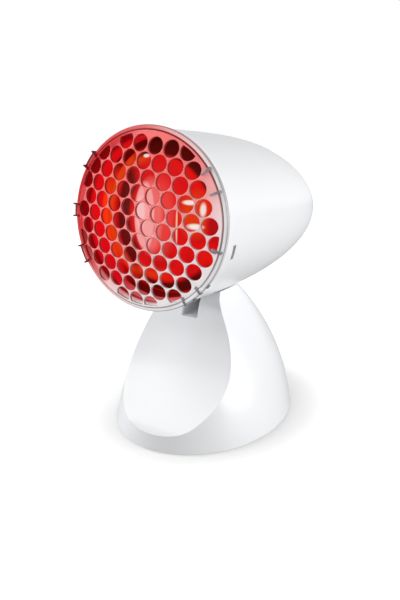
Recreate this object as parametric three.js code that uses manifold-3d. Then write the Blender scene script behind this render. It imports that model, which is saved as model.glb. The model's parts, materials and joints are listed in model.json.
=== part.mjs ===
// Infrared heat therapy lamp: a tilting bullet head with a clear domed grille on a flared base.
// Millimetres, +Z up. The lamp faces -Y and the origin lies on the table under its middle.
import * as THREE from 'three';
import { mergeVertices } from 'three/addons/utils/BufferGeometryUtils.js';
import Module from 'manifold-3d';

const wasm = await Module();
wasm.setup();

// Fits that every piece shares
const joinGap = 0.3;
const overrun = 8;
const roundSides = 24;
const smallSides = 14;
const tinySides = 10;

// Head casing, measured back from the grille's rim
const headAxisHeight = 149.56;
const headTiltDegrees = 3.61;
const bodyRadius = 52.7;
const bodyTailRoom = 26.1;
const bodyWall = 2.2;
const bodyFrontEdge = 3.2;
const tailRise = 3.6;
const bodySides = 40;
const heightShares = { slopeShare: 0.0392, bowShare: 0.0617, endPower: 3.3, roundPower: 2.5 };
const widthShares = { slopeShare: 0.0098, bowShare: 0.0225, endPower: 10.8, roundPower: 2.9 };
const bodyRingShares = [0, 0.2, 0.4, 0.56, 0.69, 0.79, 0.87, 0.92, 0.96, 0.985, 0.999];
const keelStation = 120;
const keelDepth = 4.5;
const keelSink = 2;
const keelLeanDegrees = 14;
const keelHalfWidth = 17;
const keelHalfLength = 24;
const keelSides = 20;
const keelRows = 10;
const sideSlotStation = 15;
const sideSlotDrop = 14.6;
const sideSlotLength = 8.6;
const sideSlotWidth = 2;
const sideSlotLeanDegrees = 8;
const tailVentCount = 5;
const tailVentSpacing = 7;
const tailVentWidth = 3;
const tailVentHeight = 17;
const tailVentDrop = 20;
const tailVentDepth = 24;

// Lamp holder bar and its bosses
const holderBarReach = 40;
const holderBarHalfHeight = 9;
const holderBarThickness = 1.5;
const holderBossSpacing = 35;
const holderBossRadius = 5;
const holderBossDepth = 24;
const screwRadius = 1.5;
const screwClearance = 0.3;
const screwHeadRadius = 3;
const screwHeadHeight = 1.8;
const screwGrip = 9;

// Bulb
const bulbApexStation = 10;
const bulbRadius = 47.5;
const bulbNeckLength = 98;
const bulbWall = 0.9;
const bulbReachShares = [0, 0.015, 0.055, 0.115, 0.186, 0.3, 0.45, 0.62, 0.775, 0.9, 1];
const bulbRadiusShares = [0, 0.5, 0.83, 0.97, 1, 0.975, 0.89, 0.73, 0.51, 0.355, 0.3];
const stemRadius = 4;
const stemLength = 34;
const stemFlareThickness = 1.4;
const filamentRadius = 6;
const filamentThickness = 1;
const capRadius = 13.1;
const capLength = 25;
const capWall = 0.5;
const threadDepth = 0.7;
const threadCount = 4;
const insulatorRadius = 9.5;
const insulatorLength = 4;
const contactRadius = 4.5;
const contactLength = 1.6;

// Lamp holder
const holderWall = 5;
const holderShellWall = 0.6;
const holderFloor = 4;
const holderReach = 29;
const holderContactThickness = 0.6;

// Heat shield
const shieldWall = 0.5;
const shieldRadius = 48.8;
const shieldEndGap = 1.8;
const shieldReachShares = [0, 0.28, 0.47, 0.65, 0.83, 1];
const shieldRadiusShares = [1, 1, 0.955, 0.88, 0.74, 0.56];

// Grille and its ring
const ringRadius = 54;
const ringStepRadius = 51.5;
const ringThickness = 2.9;
const ringChamfer = 0.6;
const ringSkirtThickness = 1;
const ringSkirtDepth = 5;
const ringSides = 48;
const grilleRise = 7.4;
const grilleSag = 7.6;
const grilleThickness = 1.8;
const holePitch = 10.44;
const holeRadius = 4.78;
const holeSides = 8;
const holeTurnDegrees = -8.4;
const holeShiftAcross = -3.64;
const holeShiftUp = -1.53;
const grilleBorder = 1.1;
const holeCentreLimit = 49.8;
const clipHalfDegrees = [6, 4.3, 6.2];
const clipMiddleDegrees = [140.7, 176.6, -153.4];
const clipReach = 1.1;
const clipDepth = 4.4;
const latchMiddleDegrees = -50;
const latchHalfDegrees = 9.5;
const latchHeight = 0.8;
const latchHookLength = 3.4;
const latchHookWidth = 1.6;
const latchHookHalfDegrees = 1.6;
const latchHookTurnDegrees = 6.6;

// Base casing
const capeFootGap = 0.9;
const capeHalfWidth = 62.1;
const capeMiddle = 71.5;
const capeFrontReach = 76.5;
const capeBackReach = 76.4;
const capeRise = 100;
const capeWall = 2.4;
const capeSides = 48;
const capeWidthTermShares = [1, -0.309, -0.291, -0.148];
const capeMiddleTermShares = [1, 0.165, -0.203];
const capeFrontTermShares = [1, -0.071, -0.284];
const capeBackTermShares = [1, -0.174, -0.503];
const capeLevelShares = [0, 0.13, 0.26, 0.39, 0.51, 0.63, 0.75, 0.87, 0.98];
const saddleGap = 1.3;
const saddleSteps = 1;

// Scoop down the front of the base, as rows from its foot to its top
const scoopReach = 58;
const scoopRise = 83.5;
const scoopFootDepth = -3;
const scoopFootHeight = 10.5;
const scoopHalfWidth = 40.2;
const scoopDeepness = 2.6;
const scoopColumns = 8;
const scoopReachShares = [-0.3, 0, 0.091, 0.179, 0.274, 0.386, 0.517, 0.631, 0.688, 0.734, 0.784, 0.819,
  0.85, 0.884, 0.931, 1, 1.15];
const scoopRiseShares = [-0.04, 0, 0.03, 0.081, 0.147, 0.216, 0.31, 0.404, 0.487, 0.559, 0.642, 0.722,
  0.81, 0.895, 0.957, 1, 1.06];
const scoopEdgeShares = [0.4, 0.45, 0.52, 0.694, 0.813, 0.915, 0.983, 1, 0.968, 0.93, 0.871, 0.801,
  0.711, 0.612, 0.537, 0.488, 0.45];
const scoopHollowShares = [0, 0, 0.05, 0.15, 0.3, 0.5, 0.75, 0.95, 1, 1, 0.95, 0.85, 0.7, 0.5, 0.4, 0.3, 0.3];
const scoopLeanDegrees = 53;

// Pivot
const pivotDepth = 92;
const pivotHeight = 86;
const tiltRangeDegrees = 20;
const axleRadius = 2.5;
const axleOverhang = 2.2;
const clipRadius = 4;
const clipThickness = 1;
const bushWall = 1.4;
const armHalfWidth = 5.9;
const armKnuckleRadius = 8.4;
const armKnuckleDegrees = 124;
const armReach = 34;
const armToe = 4;
const armFlangeHalfWidth = 13;
const armFlangeThickness = 3;
const armFlangeFrontOverhang = 4;
const armFlangeBackOverhang = 13;
const armScrewSpacing = 8;
const armScrewOffset = 5.5;
const armScrewLength = 5;
const armScrewRecess = 0.9;
const passageTopOffset = -9.3;
const passageEndOffset = -19.4;
const passageEndDrop = 2;
const quadrantRadius = 22;
const quadrantThickness = 3;
const quadrantHubRadius = 6;
const quadrantMarginDegrees = 6;
const detentStepDegrees = 5;
const detentDepth = 0.8;
const detentHalfDegrees = 1.4;

// Slot frame in the base
const slotHalfWidth = 6.5;
const slotCheek = 2.7;
const slotFloorHeight = 76.8;
const slotFloorThickness = 2.4;
const slotFrontDepth = 40;
const armTurnGap = 2;
const slotBackWall = 2.4;
const slotWindowHalfWidth = 2.3;

// Detent under the pivot
const plungerRadius = 2.6;
const plungerNoseRadius = 1.8;
const plungerNoseLength = 4;
const plungerLength = 10;
const plungerStroke = 1;
const springWall = 0.8;
const postRadius = 6;
const postBoreDepth = 17;
const postTopDrop = 4;
const postFootRadius = 15;
const postFootThickness = 3;
const postScrewSpacing = 11;

// Floor of the base
const footHeight = 1.9;
const footRadius = 7;
const footInset = 26.1;
const footFrontInset = 31;
const footBackInset = 35.9;
const plateThickness = 2;
const ballastInset = 27;
const ballastThickness = 7;
const columnRadius = 4;
const columnFrontInset = 28.1;
const columnFrontEndInset = 43;
const columnBackInset = 32.1;
const columnBackEndInset = 23.9;
const columnScrewLength = 12;

// Switch and cord gland at the back
const wallSpan = 10;
const switchLevel = 34;
const switchHalfWidth = 10.5;
const switchHalfHeight = 6.8;
const switchRim = 1.6;
const switchLip = 1.8;
const switchDepth = 13;
const switchWall = 1.4;
const rockerClearance = 0.8;
const rockerBulge = 2.6;
const rockerDrop = 2;
const rockerRootDepth = 3.4;
const terminalLength = 6;
const terminalWidth = 4.6;
const terminalThickness = 0.8;
const terminalSpacing = 5;
const glandLevel = 13;
const glandRadius = 4.4;
const glandFlange = 2;
const glandFlangeThickness = 2.2;
const glandBoreRadius = 2.3;
const glandTail = 4;
const blockHalfWidth = 13;
const blockDepth = 11;
const blockHeight = 10;
const blockBackRoom = 22.4;

// Leads inside the lamp
const cableRadius = 2.1;
const cableSides = 8;
const cableSteps = 18;
const cableSlack = 0.9;
const headCableStart = [[0, 136, -21.9], [0, 124, -31]];
const headCableFromPivot = [[0, 16.2, 20.6], [0, 4.2, 16.2], [0, -3.8, 15], [0, -8.2, 13.4], [0, -11.8, 9.1],
  [0, -15.3, 4], [0, -18.3, -0.4]];
const baseCableStart = [[8, 128, 17], [8, 118, 19]];
const baseCableFromPivot = [[12, 14, -52], [12, 0, -36], [8, -12, -26], [2, -18.5, -20], [0, -19.5, -15],
  [0, -19.5, -10]];

const across = new THREE.Vector3(1, 0, 0);
const back = new THREE.Vector3(0, 1, 0);
const up = new THREE.Vector3(0, 0, 1);
const radians = THREE.MathUtils.degToRad;

const finishes = {
  whiteShell: { color: 0xf3f4f6, roughness: 0.32, metalness: 0 },
  grayMoulding: { color: 0x8f9499, roughness: 0.5, metalness: 0 },
  blackMoulding: { color: 0x1c1c1e, roughness: 0.45, metalness: 0 },
  clearPlastic: { color: 0xf6d9dc, roughness: 0.08, metalness: 0, transparent: true, opacity: 0.45 },
  redGlass: { color: 0xd01010, roughness: 0.12, metalness: 0 },
  clearGlass: { color: 0xe8eef0, roughness: 0.05, metalness: 0, transparent: true, opacity: 0.4 },
  tungsten: { color: 0xffb070, roughness: 0.5, metalness: 0.8 },
  aluminium: { color: 0xc9cccf, roughness: 0.3, metalness: 1 },
  steel: { color: 0x9ea2a6, roughness: 0.35, metalness: 1 },
  iron: { color: 0x3a3c3f, roughness: 0.7, metalness: 0.6 },
  brass: { color: 0xc8a04a, roughness: 0.3, metalness: 1 },
  ceramic: { color: 0xece7da, roughness: 0.35, metalness: 0 },
  rubber: { color: 0x2a2a2c, roughness: 0.85, metalness: 0 },
  cableSheath: { color: 0xe4e4e0, roughness: 0.55, metalness: 0 },
};

// One named mesh with a material of its own.
function piece(name, shape, finish) {
  const geometry = shape instanceof THREE.BufferGeometry ? geometryOf(solidOf(shape)) : geometryOf(shape);
  const mesh = new THREE.Mesh(geometry, new THREE.MeshStandardMaterial(finish));
  mesh.name = name;
  return mesh;
}

// Closed solid of a geometry, with shared corners merged and empty triangles left out.
function solidOf(geometry) {
  const bare = new THREE.BufferGeometry();
  bare.setAttribute('position', geometry.getAttribute('position').clone());
  if (geometry.index) bare.setIndex(geometry.index.clone());
  const merged = mergeVertices(bare);
  const corners = merged.index.array;
  const kept = [];
  for (let at = 0; at < corners.length; at += 3) {
    const [a, b, c] = corners.slice(at, at + 3);
    if (a !== b && b !== c && c !== a) kept.push(a, b, c);
  }
  return new wasm.Manifold(new wasm.Mesh({
    numProp: 3,
    vertProperties: new Float32Array(merged.getAttribute('position').array),
    triVerts: new Uint32Array(kept),
  }));
}

// Geometry of a solid, ready for a mesh.
function geometryOf(solid) {
  const mesh = solid.getMesh();
  const geometry = new THREE.BufferGeometry();
  geometry.setAttribute('position', new THREE.BufferAttribute(Float32Array.from(mesh.vertProperties), 3));
  geometry.setIndex(Array.from(mesh.triVerts));
  geometry.computeVertexNormals();
  return geometry;
}

const joined = (first, ...others) => others.reduce((sum, shape) => sum.add(solidOf(shape)), solidOf(first));
const cut = (solid, ...tools) => tools.reduce((rest, tool) => rest.subtract(solidOf(tool)), solid);
const shared = (shares, size, start = 0) => shares.map((share) => start + share * size);
const polynomial = (terms, at) => terms.reduce((sum, term, order) => sum + term * at ** order, 0);

// Body that fills the space between rings of points, each ring counterclockwise round the run.
function loft(rings) {
  const sides = rings[0].length;
  const points = rings.flat();
  const index = [];
  for (let ring = 0; ring + 1 < rings.length; ring += 1) {
    for (let side = 0; side < sides; side += 1) {
      const a = ring * sides + side;
      const b = ring * sides + (side + 1) % sides;
      index.push(a, b, b + sides, a, b + sides, a + sides);
    }
  }
  const middle = (ring) => ring.reduce((sum, point) => sum.add(point), new THREE.Vector3())
    .divideScalar(ring.length);
  const first = points.length;
  const last = first + 1;
  const top = (rings.length - 1) * sides;
  for (let side = 0; side < sides; side += 1) {
    const next = (side + 1) % sides;
    index.push(first, next, side, last, top + side, top + next);
  }
  const all = [...points, middle(rings[0]), middle(rings[rings.length - 1])];
  const geometry = new THREE.BufferGeometry();
  geometry.setAttribute('position', new THREE.Float32BufferAttribute(all.flatMap((p) => p.toArray()), 3));
  geometry.setIndex(index);
  return geometry;
}

// Body turned about the Y axis from [radius, distance] pairs, in either order round the outline.
function turned(outline, sides = roundSides) {
  let area = 0;
  outline.forEach(([r, y], at) => {
    const [nextR, nextY] = outline[(at + 1) % outline.length];
    area += r * nextY - nextR * y;
  });
  const ordered = area > 0 ? [...outline] : [...outline].reverse();
  const onAxis = ordered.some(([r]) => r === 0);
  const start = onAxis ? ordered.findIndex(([r], at) => r === 0
    && ordered[(at + ordered.length - 1) % ordered.length][0] === 0) : 0;
  const run = [...ordered.slice(start), ...ordered.slice(0, start)];
  if (!onAxis) run.push(run[0]);
  return new THREE.LatheGeometry(run.map(([r, y]) => new THREE.Vector2(r, y)), sides);
}

// Straight rod or tube from one distance to another along the Y axis.
function rod(radius, from, to, bore = 0, sides = roundSides) {
  return turned([[bore, from], [radius, from], [radius, to], [bore, to]], sides);
}

// The same turned body stood upright, or laid along X.
const upright = (geometry) => geometry.rotateX(Math.PI / 2);
const crosswise = (geometry) => geometry.rotateZ(-Math.PI / 2);

// Box between two corners.
function block(low, high) {
  const size = high.map((value, at) => value - low[at]);
  const middle = high.map((value, at) => (value + low[at]) / 2);
  return new THREE.BoxGeometry(...size).translate(...middle);
}

// Plate across X, as thick as two half widths, from an outline of [back, up] pairs.
function sidePlate(outline, halfWidth) {
  const shape = new THREE.Shape(outline.map(([y, z]) => new THREE.Vector2(y, z)));
  const geometry = new THREE.ExtrudeGeometry(shape, { depth: 2 * halfWidth, bevelEnabled: false });
  geometry.translate(0, 0, -halfWidth);
  return geometry.applyMatrix4(new THREE.Matrix4().makeBasis(back, up, across));
}

// Points on an arc, from the first angle to the last, counterclockwise from the first axis.
function arc(middle, radius, fromDegrees, toDegrees, steps) {
  return Array.from({ length: steps + 1 }, (_, at) => {
    const angle = radians(fromDegrees + (toDegrees - fromDegrees) * at / steps);
    return [middle[0] + radius * Math.cos(angle), middle[1] + radius * Math.sin(angle)];
  });
}

// Screw along Y: its head's outer face at the given distance, its shank running on from it.
function screw(length, headAt = 0) {
  return turned([[0, headAt], [screwHeadRadius, headAt], [screwHeadRadius, headAt + screwHeadHeight],
    [screwRadius, headAt + screwHeadHeight], [screwRadius, headAt + screwHeadHeight + length],
    [0, headAt + screwHeadHeight + length]], tinySides);
}

// Round cable along a route of points.
function cable(route, radius) {
  const circle = new THREE.Shape(arc([0, 0], radius, 0, 360 - 360 / cableSides, cableSides - 1)
    .map(([x, y]) => new THREE.Vector2(x, y)));
  const path = new THREE.CatmullRomCurve3(route.map((point) => new THREE.Vector3(...point)));
  return new THREE.ExtrudeGeometry(circle, { steps: cableSteps, bevelEnabled: false, extrudePath: path });
}

// Points of a cable that stay in place, then those measured from the pivot.
const routeFrom = (start, offsets, [depth, level]) => [...start,
  ...offsets.map(([x, y, z]) => [x, depth + y, level + z])];

// Where the pivot lies as the head sees it, back from the rim and up from its axis.
const headTilt = radians(headTiltDegrees);
const headFrame = new THREE.Matrix4().makeRotationX(-headTilt).setPosition(0, 0, headAxisHeight);
const pivotInHead = new THREE.Vector3(0, pivotDepth, pivotHeight)
  .applyMatrix4(headFrame.clone().invert());
const [pivotStation, pivotRise] = [pivotInHead.y, pivotInHead.z];

// Half height or half width of the head casing at a distance behind the rim.
function casingReach(station, shares, inset) {
  const length = bodyLength - inset;
  const along = station / bodyLength;
  const swelling = 1 + shares.slopeShare * along + shares.bowShare * along ** 2;
  const closing = (1 - Math.min(Math.max(station, 0) / length, 1) ** shares.endPower)
    ** (1 / shares.roundPower);
  return (bodyRadius - inset) * swelling * closing;
}

const casingMiddle = (station) => tailRise * (station / bodyLength) ** 2;

// Solid of the head's form, drawn in by the inset, without its keel.
function casingForm(inset, from) {
  const rings = shared(bodyRingShares, bodyLength - inset - from, from).map((station) => {
    const [halfWidth, halfHeight] = [widthShares, heightShares]
      .map((shares) => casingReach(station, shares, inset));
    return Array.from({ length: bodySides }, (_, side) => {
      const angle = 2 * Math.PI * side / bodySides;
      return new THREE.Vector3(halfWidth * Math.sin(angle), station,
        casingMiddle(station) + halfHeight * Math.cos(angle));
    });
  });
  return loft(rings);
}

// Smooth fairing under the casing, which runs down behind the pivot.
function keelForm(growth) {
  const bellyRise = casingMiddle(keelStation) - casingReach(keelStation, heightShares, 0);
  return new THREE.SphereGeometry(1, keelSides, keelRows)
    .scale(keelHalfWidth + growth, keelHalfLength + growth, keelDepth + growth)
    .rotateX(radians(keelLeanDegrees)).translate(0, keelStation, bellyRise + keelSink);
}

// Casing with its keel as it sits above the base, tipped back by an angle about the pivot.
function headSweep(growth) {
  const form = joined(casingForm(-growth, -growth), keelForm(growth));
  const turns = Array.from({ length: saddleSteps + 1 }, (_, step) => {
    const angle = radians(tiltRangeDegrees) * step / saddleSteps;
    const tip = new THREE.Matrix4().makeTranslation(0, pivotDepth, pivotHeight)
      .multiply(new THREE.Matrix4().makeRotationX(-angle))
      .multiply(new THREE.Matrix4().makeTranslation(0, -pivotDepth, -pivotHeight))
      .multiply(headFrame);
    return form.transform(tip.toArray());
  });
  return turns.reduce((sum, turn) => sum.add(turn));
}

const radiusOfNeck = bulbRadius * bulbRadiusShares[bulbRadiusShares.length - 1];
const bushSeatRadius = axleRadius + joinGap + bushWall + joinGap;

// Places along the head's axis, each from the one in front of it.
const bulbCapStation = bulbApexStation + bulbNeckLength;
const bulbTipStation = bulbCapStation + capLength + insulatorLength + contactLength;
const holderBoreRadius = capRadius + joinGap;
const holderRadius = holderBoreRadius + holderShellWall + joinGap + holderWall;
const holderContactStation = bulbTipStation + joinGap;
const holderFloorStation = holderContactStation + holderContactThickness + joinGap;
const holderBackStation = holderFloorStation + holderFloor;
const holderFrontStation = holderFloorStation - holderReach;
const barStation = holderBackStation + joinGap;
const bossStation = barStation + holderBarThickness + joinGap;
const bodyLength = bossStation + bodyTailRoom;

// The arm's knuckle and flange, in the head's frame.
const armFrontStation = pivotStation - armReach;
const armBackStation = pivotStation + armKnuckleRadius;
const flangeFrontStation = armFrontStation - armFlangeFrontOverhang;
const flangeBackStation = armBackStation + armFlangeBackOverhang;
const flangeInset = bodyWall + joinGap;
const flangeTopAt = (station) => casingMiddle(station) - casingReach(station, heightShares, flangeInset)
  + armFlangeThickness;
const armScrewStation = armBackStation + armScrewOffset;
const passageRadius = cableRadius + cableSlack;

// A turned body set down the arm's screw hole, from just above the screw's head.
const armScrewSeat = flangeTopAt(armScrewStation) - armScrewRecess;
const armScrewAt = (geometry, side) => geometry.rotateX(-Math.PI / 2)
  .translate(side * armScrewSpacing, armScrewStation, armScrewSeat + screwHeadHeight + joinGap);
const boreRadius = screwRadius + screwClearance;

// Slanting hole for the leads, from the flange's top to the arm's lower edge.
function passage() {
  const topStation = pivotStation + passageTopOffset;
  const top = new THREE.Vector3(0, topStation, flangeTopAt(topStation));
  const end = new THREE.Vector3(0, pivotStation + passageEndOffset, pivotRise - passageEndDrop);
  const run = end.clone().sub(top);
  const turn = new THREE.Quaternion().setFromUnitVectors(back, run.clone().normalize());
  return rod(passageRadius, -overrun, run.length() + overrun, 0, smallSides)
    .applyQuaternion(turn).translate(0, top.y, top.z);
}

function headShell() {
  const outside = joined(casingForm(0, bodyFrontEdge), keelForm(0));
  const inside = solidOf(casingForm(bodyWall, -overrun));
  const bosses = [-1, 1].map((side) => rod(holderBossRadius, bossStation, bossStation + holderBossDepth, 0,
    smallSides).translate(side * holderBossSpacing, 0, 0));
  const solidBosses = bosses.map((boss) => solidOf(boss).intersect(outside));
  const shell = solidBosses.reduce((sum, boss) => sum.add(boss), outside.subtract(inside));
  const bores = [-1, 1].map((side) => rod(boreRadius, barStation, bossStation + screwGrip, 0,
    tinySides).translate(side * holderBossSpacing, 0, 0));
  const armWidth = armHalfWidth + joinGap;
  const armOpening = block([-armWidth, armFrontStation - joinGap, -2 * bodyRadius],
    [armWidth, armBackStation + joinGap, -bodyRadius / 2]);
  const armBores = [-1, 1].map((side) => armScrewAt(
    rod(boreRadius, 0, screwHeadHeight + armScrewLength + joinGap, 0, tinySides), side));
  return cut(shell, ...bores, armOpening, ...armBores, ...sideSlots(), ...tailVents());
}

function sideSlots() {
  return [-1, 1].map((side) => new THREE.BoxGeometry(bodyRadius, sideSlotWidth, sideSlotLength)
    .rotateX(radians(sideSlotLeanDegrees))
    .translate(side * bodyRadius, sideSlotStation, -sideSlotDrop));
}

function tailVents() {
  return Array.from({ length: tailVentCount }, (_, at) => {
    const middle = (at - (tailVentCount - 1) / 2) * tailVentSpacing;
    return block([middle - tailVentWidth / 2, bodyLength - tailVentDepth, -tailVentDrop - tailVentHeight / 2],
      [middle + tailVentWidth / 2, bodyLength + overrun, -tailVentDrop + tailVentHeight / 2]);
  });
}

function heatShield() {
  const frontStation = ringSkirtDepth + ringThickness + joinGap;
  const stations = shared(shieldReachShares, bulbCapStation - shieldEndGap - frontStation, frontStation);
  const radii = shared(shieldRadiusShares, shieldRadius);
  const flangeRadius = bodyRadius - bodyWall - joinGap;
  const outer = stations.map((station, at) => [radii[at], station]);
  const inner = outer.map(([radius, station]) => [radius - shieldWall, station]);
  outer[0] = [shieldRadius, frontStation + shieldWall];
  return turned([[inner[0][0], frontStation], [flangeRadius, frontStation],
    [flangeRadius, frontStation + shieldWall], ...outer, ...inner.reverse().slice(0, -1)], bodySides);
}

function holderBar() {
  const bar = solidOf(block([-holderBarReach, barStation, -holderBarHalfHeight],
    [holderBarReach, barStation + holderBarThickness, holderBarHalfHeight]));
  const bores = [-1, 0, 1].map((side) => rod(boreRadius, barStation - overrun,
    barStation + overrun, 0, tinySides).translate(side * holderBossSpacing, 0, 0));
  return cut(bar, ...bores);
}

function holderScrew(side) {
  const headAt = barStation - joinGap - screwHeadHeight;
  return screw(screwGrip, headAt).translate(side * holderBossSpacing, 0, 0);
}

function holderBody() {
  const bore = holderBoreRadius + holderShellWall + joinGap;
  return turned([[0, holderFloorStation], [bore, holderFloorStation], [bore, holderFrontStation],
    [holderRadius, holderFrontStation], [holderRadius, holderBackStation], [0, holderBackStation]]);
}

function holderShell() {
  return rod(holderBoreRadius + holderShellWall, holderFrontStation + joinGap,
    holderFloorStation - joinGap - holderContactThickness, holderBoreRadius);
}

function bulbGlass() {
  const stations = shared(bulbReachShares, bulbNeckLength, bulbApexStation);
  const radii = shared(bulbRadiusShares, bulbRadius);
  const outer = stations.map((station, at) => [radii[at], station]);
  const inner = outer.slice(1).map(([radius, station], at) => {
    const [lastRadius, lastStation] = outer[at];
    const slope = new THREE.Vector2(radius - lastRadius, station - lastStation).normalize();
    return [radius - slope.y * bulbWall, station + slope.x * bulbWall];
  });
  inner[inner.length - 1][1] = bulbCapStation;
  return turned([...outer, ...inner.reverse(), [0, bulbApexStation + bulbWall]], bodySides);
}

function bulbCap() {
  const outline = [];
  const rise = (capLength - joinGap) / (2 * threadCount);
  for (let at = 0; at <= 2 * threadCount; at += 1) {
    outline.push([capRadius - threadDepth * (at % 2), bulbCapStation + joinGap + at * rise]);
  }
  const inner = [...outline].reverse().map(([radius, station]) => [radius - capWall, station]);
  return turned([...outline, ...inner], smallSides);
}

function bulbInsulator() {
  const station = bulbCapStation + capLength + joinGap;
  const end = station + insulatorLength - joinGap;
  return turned([[0, station], [capRadius - threadDepth, station], [insulatorRadius, end], [0, end]],
    smallSides);
}

function bulbContact() {
  return rod(contactRadius, bulbTipStation - contactLength + joinGap, bulbTipStation, 0, smallSides);
}

function bulbStem() {
  const flareRadius = radiusOfNeck - bulbWall - joinGap;
  const flareStation = bulbCapStation - joinGap - stemFlareThickness;
  const end = bulbCapStation + capLength / 2;
  return turned([[0, bulbCapStation - stemLength], [stemRadius, bulbCapStation - stemLength],
    [stemRadius, flareStation], [flareRadius, flareStation], [flareRadius, flareStation + stemFlareThickness],
    [stemRadius, flareStation + stemFlareThickness], [stemRadius, end], [0, end]], smallSides);
}

function bulbFilament() {
  const station = bulbCapStation - stemLength - filamentThickness - joinGap;
  return rod(filamentRadius, station, station + filamentThickness, stemRadius - filamentThickness, smallSides);
}

function pivotArm() {
  const middle = [pivotStation, pivotRise];
  const knuckle = arc(middle, armKnuckleRadius, -armKnuckleDegrees, 0, smallSides);
  const plate = sidePlate([[armFrontStation, -bodyRadius / 2], [armFrontStation, pivotRise + armToe],
    ...knuckle, [armBackStation, -bodyRadius / 2]], armHalfWidth);
  const flange = solidOf(block([-armFlangeHalfWidth, flangeFrontStation, -bodyRadius],
    [armFlangeHalfWidth, flangeBackStation, -bodyRadius / 2]))
    .intersect(solidOf(casingForm(flangeInset, 0)));
  const above = casingForm(flangeInset + armFlangeThickness, 0);
  const bushBore = crosswise(rod(bushSeatRadius, -armHalfWidth - overrun, armHalfWidth + overrun))
    .translate(0, ...middle);
  const slitReach = quadrantHubRadius + joinGap;
  const slitHalf = quadrantThickness / 2 + joinGap;
  const slit = block([-slitHalf, pivotStation - slitReach, pivotRise - quadrantRadius],
    [slitHalf, pivotStation + slitReach, pivotRise + slitReach]);
  const screwBores = [-1, 1].flatMap((side) => [
    armScrewAt(rod(boreRadius, -overrun, 2 * overrun, 0, tinySides), side),
    armScrewAt(rod(screwHeadRadius + joinGap, -overrun, screwHeadHeight + joinGap, 0, tinySides), side),
  ]);
  return cut(solidOf(plate).add(flange), above, bushBore, slit, passage(), ...screwBores);
}

const armScrew = (side) => armScrewAt(screw(armScrewLength), side);

// Angle that the notched plate covers behind its lowest point.
const quadrantBackDegrees = tiltRangeDegrees + quadrantMarginDegrees;

// Angle that points straight down at rest, as the tilted head sees it.
const downDegrees = headTiltDegrees - 90;

function detentQuadrant() {
  const middle = [pivotStation, pivotRise];
  const point = (radius, degrees) => arc(middle, radius, degrees, degrees, 1)[0];
  const stops = Array.from({ length: tiltRangeDegrees / detentStepDegrees + 1 },
    (_, stop) => downDegrees + stop * detentStepDegrees);
  const edge = stops.flatMap((stop) => [point(quadrantRadius, stop - detentHalfDegrees),
    point(quadrantRadius - detentDepth, stop), point(quadrantRadius, stop + detentHalfDegrees)]);
  const sector = sidePlate([middle, point(quadrantRadius, downDegrees - quadrantMarginDegrees), ...edge,
    point(quadrantRadius, downDegrees + quadrantBackDegrees)], quadrantThickness / 2);
  const hub = crosswise(rod(quadrantHubRadius, -quadrantThickness / 2, quadrantThickness / 2))
    .translate(0, ...middle);
  return cut(joined(sector, hub), crosswise(rod(bushSeatRadius, -overrun, overrun)).translate(0, ...middle));
}

function pivotBush() {
  return crosswise(rod(axleRadius + joinGap + bushWall, -armHalfWidth, armHalfWidth, axleRadius + joinGap))
    .translate(0, pivotStation, pivotRise);
}

// Round holes in a honeycomb, those at the edge drawn in to the border.
function grilleHoles() {
  const limit = ringStepRadius - joinGap - grilleBorder;
  const turn = radians(holeTurnDegrees);
  const [cosTurn, sinTurn] = [Math.cos(turn), Math.sin(turn)];
  const reach = Math.ceil(2 * ringRadius / holePitch);
  const rowStep = holePitch * Math.sqrt(3) / 2;
  const holes = [];
  for (let row = -reach; row <= reach; row += 1) {
    for (let column = -reach; column <= reach; column += 1) {
      const [u, v] = [(column + (row % 2) / 2) * holePitch, row * rowStep];
      const x = holeShiftAcross + u * cosTurn - v * sinTurn;
      const z = holeShiftUp + u * sinTurn + v * cosTurn;
      if (Math.hypot(x, z) > holeCentreLimit) continue;
      holes.push(arc([x, z], holeRadius, 0, 360 - 360 / holeSides, holeSides - 1).map(([px, pz]) => {
        const draw = Math.min(1, limit / Math.hypot(px, pz));
        return new THREE.Vector2(px * draw, pz * draw);
      }));
    }
  }
  return holes;
}

// Domed guard: a flat honeycomb plate bent forward along the head's axis.
function grille() {
  const radius = ringStepRadius - joinGap;
  const plate = new THREE.Shape(arc([0, 0], radius, 0, 360 - 360 / ringSides, ringSides - 1)
    .map(([x, z]) => new THREE.Vector2(x, z)));
  plate.holes = grilleHoles().map((points) => new THREE.Path(points));
  const geometry = new THREE.ExtrudeGeometry(plate, { depth: grilleThickness, bevelEnabled: false });
  geometry.rotateX(Math.PI / 2).translate(0, grilleThickness, 0);
  const places = geometry.getAttribute('position');
  for (let at = 0; at < places.count; at += 1) {
    const share = Math.hypot(places.getX(at), places.getZ(at)) / ringRadius;
    places.setY(at, places.getY(at) - grilleRise + grilleSag * share ** 2);
  }
  return geometry;
}

// Piece of a ring in front view, from one distance to another along the head's axis.
function ringPart(inner, outer, middleDegrees, halfDegrees, from, to) {
  const low = middleDegrees - halfDegrees;
  const high = middleDegrees + halfDegrees;
  const outline = [...arc([0, 0], outer, low, high, 4), ...arc([0, 0], inner, high, low, 4)];
  const shape = new THREE.Shape(outline.map(([x, z]) => new THREE.Vector2(x, z)));
  const geometry = new THREE.ExtrudeGeometry(shape, { depth: to - from, bevelEnabled: false });
  return geometry.rotateX(Math.PI / 2).translate(0, to, 0);
}

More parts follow.
